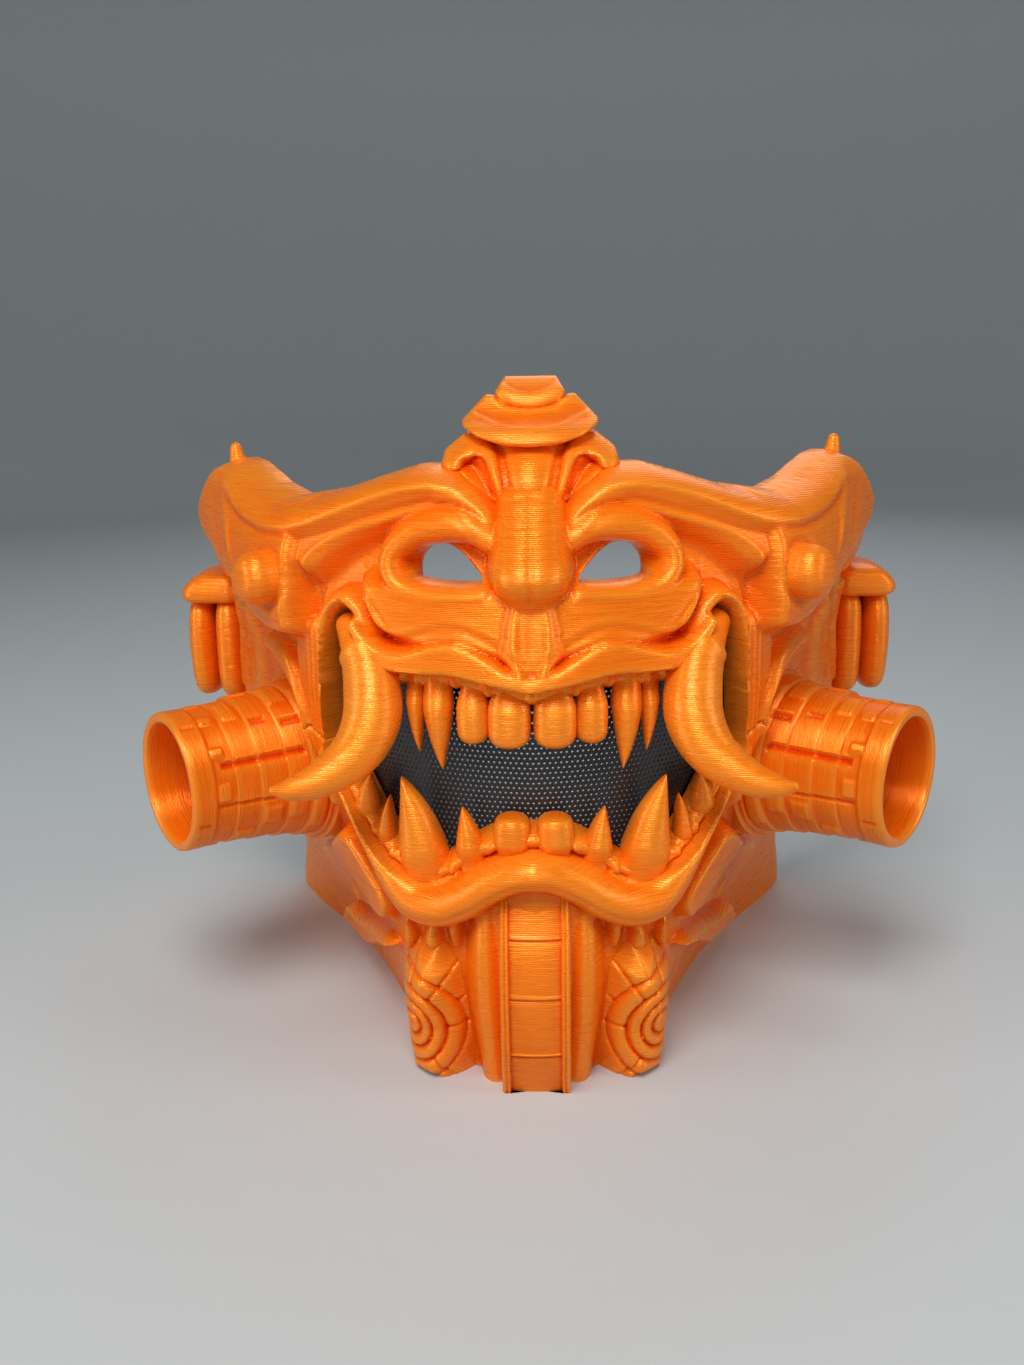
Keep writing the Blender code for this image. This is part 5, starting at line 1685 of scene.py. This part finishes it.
def tone_group() -> Tree:
    """Tone of the silk print: painted shade in creases, a painted pale gold highlight on crests, soft patches
    between.

    The tone is 0.5 + form gain + patches + streaks, and it runs from the painted shade through base to the
    painted highlight.
    """
    tree, given, out = socket_group(
        "Silk tone",
        {"Form": 0.0, "Gain": 0.6, "Streaks": 0.5, "Base": (0.9, 0.2, 0.03, 1.0),
         "Glow": (1.0, 0.5, 0.2, 1.0), "Deep": (0.6, 0.05, 0.01, 1.0), "Patches": 0.25},
        {"Color": "NodeSocketColor", "Tone": "NodeSocketFloat"},
    )  # fmt: skip
    cloud = noise(tree, node(tree, "TexCoord").outputs["Object"], 34.0, Detail=3.0, Roughness=0.55)
    cloud = math_node(tree, "MULTIPLY", math_node(tree, "SUBTRACT", cloud, 0.5), given["Patches"])
    streak = math_node(tree, "MULTIPLY", math_node(tree, "SUBTRACT", given["Streaks"], 0.5), 0.30)
    tone = math_node(tree, "MULTIPLY_ADD", given["Form"], given["Gain"], 0.5)
    tone = math_node(tree, "ADD", tone, math_node(tree, "ADD", cloud, streak))
    # painted shade where the tone is low, in creases; painted highlight where it is high, on crests
    first = mixed(tree, ramp(tree, tone, 0.0, 0.5), given["Deep"], given["Base"])
    second = mixed(tree, ramp(tree, tone, 0.5, 1.15), first, given["Glow"])
    connect(tree, out, {"Color": second, "Tone": tone})
    return tree


def grain_group() -> Tree:
    """Fine grain: small pits and specks at a given scale, with dust that settles in creases."""
    tree, given, out = socket_group(
        "Fine grain",
        {"Scale": 1500.0, "Amount": 0.5, "Form": 0.0},
        {"Height": "NodeSocketFloat", "Dust": "NodeSocketFloat"},
    )
    place = node(tree, "TexCoord").outputs["Object"]
    pits = noise(tree, place, given["Scale"], Detail=2.0)
    specks = node(tree, "TexVoronoi", {"Vector": place, "Scale": 420.0}).outputs["Distance"]
    speck = math_node(tree, "LESS_THAN", specks, 0.07)
    crease = ramp(tree, given["Form"], 0.1, -0.8)
    connect(tree, out, {"Height": math_node(tree, "MULTIPLY", pits, given["Amount"]),
                        "Dust": math_node(tree, "MULTIPLY", speck, crease)})  # fmt: skip
    return tree


def new_material(name: str) -> tuple[bpy.types.Material, Tree, bpy.types.Node]:
    """A material with its node tree and its Principled shader."""
    material = bpy.data.materials.new(name)
    material.use_nodes = True
    return material, material.node_tree, material.node_tree.nodes["Principled BSDF"]


@dataclass(frozen=True)
class SilkPrint:
    """The orange printed finish: silky, a little see-through, with its layer lines, painted shade in creases
    and a painted highlight on crests.
    """

    base: tuple = (0.95, 0.195, 0.003, 1.0)
    # painted highlight: pale gold put on crests where the light falls
    glow: tuple = (1.0, 0.47, 0.050, 1.0)
    # painted shade: deep red put in creases where shade falls
    deep: tuple = (0.78, 0.062, 0.0010, 1.0)
    dust: tuple = (0.95, 0.72, 0.5, 1.0)
    roughness: float = 0.30
    metallic: float = 0.30
    bump: float = 0.95
    bead: float = 0.25
    streak: float = 0.65
    gain: float = 0.60

    def material(self, name: str, groups: dict) -> bpy.types.Material:
        """Makes the finish from the shared groups."""
        material, tree, shader = new_material(name)
        marks = ("form", "layer")
        form, layer = (node(tree, "Attribute", attribute_name=mark).outputs["Fac"] for mark in marks)
        layers = placed_group(tree, groups["layers"], {
            "Layer": layer, "Bead": self.bead, "Streak": self.streak})  # fmt: skip
        # the tone paints shade into creases and a highlight onto crests, led by the form attribute
        tone = placed_group(tree, groups["tone"], {
            "Form": form, "Gain": self.gain, "Streaks": layers.outputs["Streaks"],
            "Base": self.base, "Glow": self.glow, "Deep": self.deep})  # fmt: skip
        grain = placed_group(tree, groups["grain"], {"Form": form, "Amount": 0.25})
        dusty = math_node(tree, "MULTIPLY", grain.outputs["Dust"], 0.5)
        rough = node(tree, "MapRange", {
            "Value": layers.outputs["Streaks"], "From Min": 0.3, "From Max": 0.7,
            "To Min": self.roughness - 0.07, "To Max": self.roughness + 0.10})  # fmt: skip
        height = math_node(tree, "ADD", layers.outputs["Height"], grain.outputs["Height"])
        bump = node(tree, "Bump", {"Height": height, "Strength": self.bump, "Distance": 0.00018})
        connect(tree, shader, {
            "Base Color": mixed(tree, dusty, tone.outputs["Color"], self.dust),
            "Roughness": rough.outputs[0],
            "Normal": bump.outputs[0],
            "Metallic": self.metallic,
            "Specular Tint": (1.0, 0.74, 0.42, 1.0),
            "Subsurface Weight": 0.12,
            "Subsurface Radius": (1.0, 0.32, 0.08),
            "Subsurface Scale": 0.0025,
            "Coat Weight": 0.12,
            "Coat Roughness": 0.20,
            "Coat Tint": (1.0, 0.86, 0.62, 1.0),
        })  # fmt: skip
        return material


@dataclass(frozen=True)
class BlackSheet:
    """The black pierced sheet: dull plastic with fine grain."""

    colour: tuple = (0.008, 0.0085, 0.0095, 1.0)
    worn: tuple = (0.022, 0.023, 0.025, 1.0)

    def material(self, name: str, groups: dict) -> bpy.types.Material:
        """Makes the finish from the shared grain group."""
        material, tree, shader = new_material(name)
        grain = placed_group(tree, groups["grain"], {"Scale": 2600.0, "Amount": 1.0})
        height = grain.outputs["Height"]
        bump = node(tree, "Bump", {"Height": height, "Strength": 0.3, "Distance": 0.00005})
        connect(tree, shader, {"Base Color": mixed(tree, height, self.colour, self.worn),
                               "Normal": bump.outputs[0], "Roughness": 0.42})  # fmt: skip
        return material


@dataclass
class Studio:
    """The pale floor with its round sweep, the soft lights and the camera of the photograph."""

    head: HeadForm
    floor_radius: float = 1.15
    wall_radius: float = 1.75
    wall_height: float = 1.5
    camera_at: tuple[float, float, float] = (0.00438, -0.2752, 0.1738)
    yaw: float = 1.815
    pitch: float = 14.5
    roll: float = 0.984
    focal: float = 1280.0
    picture: float = 1365.0
    floor_colour: tuple = (0.50, 0.54, 0.56, 1.0)
    segments: int = 96
    aim: tuple[float, float, float] = (0, -0.02, 0.08)
    lamps: tuple[tuple, ...] = (
        ("key_light", (-0.10, -0.55, 0.80), 0.42, 7.1, (1.0, 0.97, 0.93)),
        ("front_light", (0.05, -0.90, 0.12), 0.50, 0.6, (1.0, 0.98, 0.95)),
        ("left_light", (-0.85, -0.35, 0.40), 0.36, 2.6, (1.0, 0.98, 0.96)),
        ("right_light", (0.85, -0.30, 0.45), 0.36, 2.4, (1.0, 0.98, 0.96)),
        ("rear_light", (0.15, 0.80, 0.70), 0.60, 1.5, (0.93, 0.97, 1.0)),
    )

    def sweep(self) -> bpy.types.Object:
        """Makes the floor: a flat disc that turns up in a quarter circle into a low wall."""
        bend = self.wall_radius - self.floor_radius
        t = np.linspace(0, math.pi / 2, 24)
        radius = np.concatenate([[0.0, 0.3, 0.7], self.floor_radius + bend * np.sin(t), [self.wall_radius]])
        height = np.concatenate([[0.0, 0.0, 0.0], bend * (1 - np.cos(t)), [self.wall_height]])
        turn, around = full_turn(self.segments), self.segments
        points = np.stack([radius[:, None] * np.cos(turn), radius[:, None] * np.sin(turn),
                           np.repeat(height[:, None], around, axis=1)], -1)  # fmt: skip
        i, j = index_pairs(len(radius) - 1, around)
        k = (j + 1) % around
        low, high = i * around, (i + 1) * around
        faces = np.column_stack([low + j, high + j, high + k, low + k])
        obj = merged(mesh_object("studio_floor", points.reshape(-1, 3), faces.tolist()))
        obj.data.shade_smooth()
        material, tree, shader = new_material("pale_floor")
        speckle = noise(tree, node(tree, "TexCoord").outputs["Object"], 900.0, Detail=2.0)
        bump = node(tree, "Bump", {"Height": speckle, "Strength": 0.06, "Distance": 0.0003})
        connect(tree, shader, {
            "Normal": bump.outputs[0], "Base Color": self.floor_colour, "Roughness": 0.55})  # fmt: skip
        obj.data.materials.append(material)
        return obj

    def light(self, name: str, place: tuple, size: float, power: float, colour: tuple) -> None:
        """Adds a square soft light at the place, turned to the middle of the mask."""
        data = bpy.data.lights.new(name, "AREA")
        data.size, data.energy, data.color = size, power, colour
        obj = bpy.data.objects.new(name, data)
        obj.location = place
        way = Vector(self.aim) - Vector(place)
        obj.rotation_euler = way.to_track_quat("-Z", "Y").to_euler()
        bpy.context.scene.collection.objects.link(obj)

    def lights(self) -> None:
        """A broad light above, a low one in front, one on each side, and a pale surround."""
        for lamp in self.lamps:
            self.light(*lamp)
        world = bpy.data.worlds.new("studio_surround")
        bpy.context.scene.world = world
        world.use_nodes = True
        back = world.node_tree.nodes["Background"]
        back.inputs["Color"].default_value = (0.80, 0.85, 0.90, 1.0)
        back.inputs["Strength"].default_value = 0.11

    def camera(self) -> bpy.types.Object:
        """Sets the camera where the photograph was taken from."""
        yaw, pitch, roll = (math.radians(a) for a in (self.yaw, self.pitch, self.roll))
        right = Vector((math.cos(yaw), math.sin(yaw), 0))
        ahead = Vector((-math.sin(yaw), math.cos(yaw), 0))
        forward = ahead * math.cos(pitch) + Vector((0, 0, -math.sin(pitch)))
        down = -ahead * math.sin(pitch) + Vector((0, 0, -math.cos(pitch)))
        across = right * math.cos(roll) + down * math.sin(roll)
        below = down * math.cos(roll) - right * math.sin(roll)
        turned = Matrix((across, -below, -forward)).transposed().to_4x4()
        turned.translation = Vector(self.camera_at) + Vector(self.head.drawing_shift)
        data = bpy.data.cameras.new("photo_camera")
        data.sensor_width = 36.0
        data.lens = 36.0 * self.focal / self.picture
        data.clip_start, data.clip_end = 0.01, 20.0
        obj = bpy.data.objects.new("photo_camera", data)
        obj.matrix_world = turned
        bpy.context.scene.collection.objects.link(obj)
        bpy.context.scene.camera = obj
        bpy.context.scene.view_settings.view_transform = "Standard"
        return obj


def teeth_rows(head: HeadForm, mouth: Array) -> tuple[TeethRow, TeethRow]:
    """The upper and the lower row of teeth, from the mouth's sides to its middle."""
    uppers = (
        Tooth((18.6, 100.8), (17.5, 84.4), 2.7, 3.4, 1.0, -0.4, 0.8),
        Tooth((14.7, 101.2), (13.5, 81.0), 4.2, 4.6, 1.0, -0.5, 1.4),
        Tooth((8.9, 100.6), (8.7, 87.6), 3.5, 3.9, 0.0),
        Tooth((3.35, 100.4), (3.3, 87.0), 4.5, 4.2, 0.0),
    )
    lowers = (
        Tooth((30.2, 62.8), (28.2, 76.0), 4.2, 4.0, 1.0, 0.4),
        Tooth((25.6, 57.2), (24.0, 71.9), 2.8, 3.6, 1.0, 0.3),
        Tooth((16.8, 52.6), (20.7, 78.0), 7.0, 6.4, 1.0, -1.3, 2.0),
        Tooth((9.4, 58.2), (10.8, 72.2), 4.0, 4.4, 1.0, -0.3, 0.8),
        Tooth((3.3, 60.8), (3.2, 70.8), 4.0, 4.4, 0.0),
    )
    return (
        TeethRow(head, "teeth_upper", uppers, mouth, 91.0, 117.0, 23.0),
        TeethRow(head, "teeth_lower", lowers, mouth, 50.0, 79.0, 34.0, 4.0),
    )


def crest_plates(head: HeadForm) -> tuple[CrestPlate, ...]:
    """The three plates of the crest, from the nose bridge upwards."""
    low = CrestPlate(
        head, "crest_low",
        ((0, 139.0), (6.5, 139.0), (9.5, 141.4), (13.0, 144.0), (17.0, 145.6), (20.8, 148.4),
         (19.8, 152.0), (15.2, 155.6), (9.6, 154.8), (6.6, 153.4), (0, 153.8)),
        ((139, 17.0), (142, 15.6), (145, 16.0), (149, 19.6), (153, 25.0), (156, 29.0)), 14.0, 7.5,
        ((((0, 155, 6.8, 2.8), (0, 149, 5.4, 2.7), (0, 141, 3.6, 1.6)), Blend.ROLL),
         (((18.5, 150.6, 3.6, 3.4), (14.0, 153.2, 3.2, 3.6), (10.0, 151.6, 2.0, 3.2),
           (8.0, 147, 1.2, 2.6), (6.6, 141.5, 0.9, 1.6)), Blend.ROLL),
         (((14.6, 148.8, 2.2, -2.0), (12.0, 147.0, 2.9, -3.2), (9.2, 142.6, 1.9, -2.6)), Blend.LINE)),
    )  # fmt: skip
    mid = CrestPlate(
        head, "crest_mid",
        ((0, 152.6), (6, 153.0), (12, 154.8), (15.8, 157.4), (15.9, 158.6), (10.6, 164.0),
         (8.8, 163.8), (5.5, 161.6), (0, 160.8)),
        ((151, 18.6), (154.4, 19.6), (156.4, 21.6), (159, 27.0), (165, 33.0)), 12.0, 9.0,
        ((((0, 154.8, 2.4, 1.2), (6, 155.4, 2.4, 1.2), (13.0, 157.8, 2.6, 1.2)), Blend.ROLL),
         (((0, 156.8, 0.7, 0.5), (6, 157.4, 0.7, 0.5), (13.6, 160.0, 0.6, 0.4)), Blend.LINE)),
    )  # fmt: skip
    top = CrestPlate(
        head, "crest_top",
        ((0, 158.0), (6.5, 159.0), (8.3, 164.6), (6.2, 168.0), (0, 168.0)),
        ((158, 30.6), (162, 31.2), (164.8, 33.0), (168, 38.0)), 12.0, 8.0,
        ((((0, 162.6, 1.9, 1.2), (4, 163.4, 1.9, 1.2), (7.9, 165.6, 1.7, 1.0)), Blend.ROLL),),
    )  # fmt: skip
    return low, mid, top


def main() -> None:
    """Builds every sub-assembly in order, dresses it and reports it."""
    logging.basicConfig(level=logging.INFO, format="%(message)s", stream=sys.stdout)
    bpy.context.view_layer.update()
    head = HeadForm()
    studio = Studio(head)
    studio.camera()
    studio.sweep()
    studio.lights()
    groups = {"layers": layer_group(), "tone": tone_group(), "grain": grain_group()}
    orange = SilkPrint().material("silk_orange_print", groups)
    black = BlackSheet().material("black_sheet", groups)

    shell = FaceShell(head, FaceRelief(head))
    pieces = shell.build()
    for obj in pieces:
        smooth_with_edges(obj, 52)
        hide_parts("face_shell")
    pieces += [row.build() for row in teeth_rows(head, shell.outline(shell.mouth))]
    screen = MouthScreen(head).build()
    pieces += [plate.build() for plate in crest_plates(head)]
    pieces.append(ChinBand(head).build())
    canister = Canister(head)
    for side in Side:
        tube = canister.build(side)
        mark_layers(tube, canister.layer_axis(side))
        pieces.append(tube)
        for kind in (Tusk, Bolt, Horn, ChinPod, EarGuard):
            pieces.append(kind(head).build(side))
    for obj in pieces:
        mark_form(obj)
        if "layer" not in obj.data.attributes:
            mark_layers(obj)
        obj.data.materials.clear()
        obj.data.materials.append(orange)
    screen.data.materials.append(black)
    for obj in pieces + [screen]:
        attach(obj, "root")
        obj.data.calc_loop_triangles()
        LOG.info("%s: %d triangles", obj.name, len(obj.data.loop_triangles))


if __name__ == "__main__":
    main()
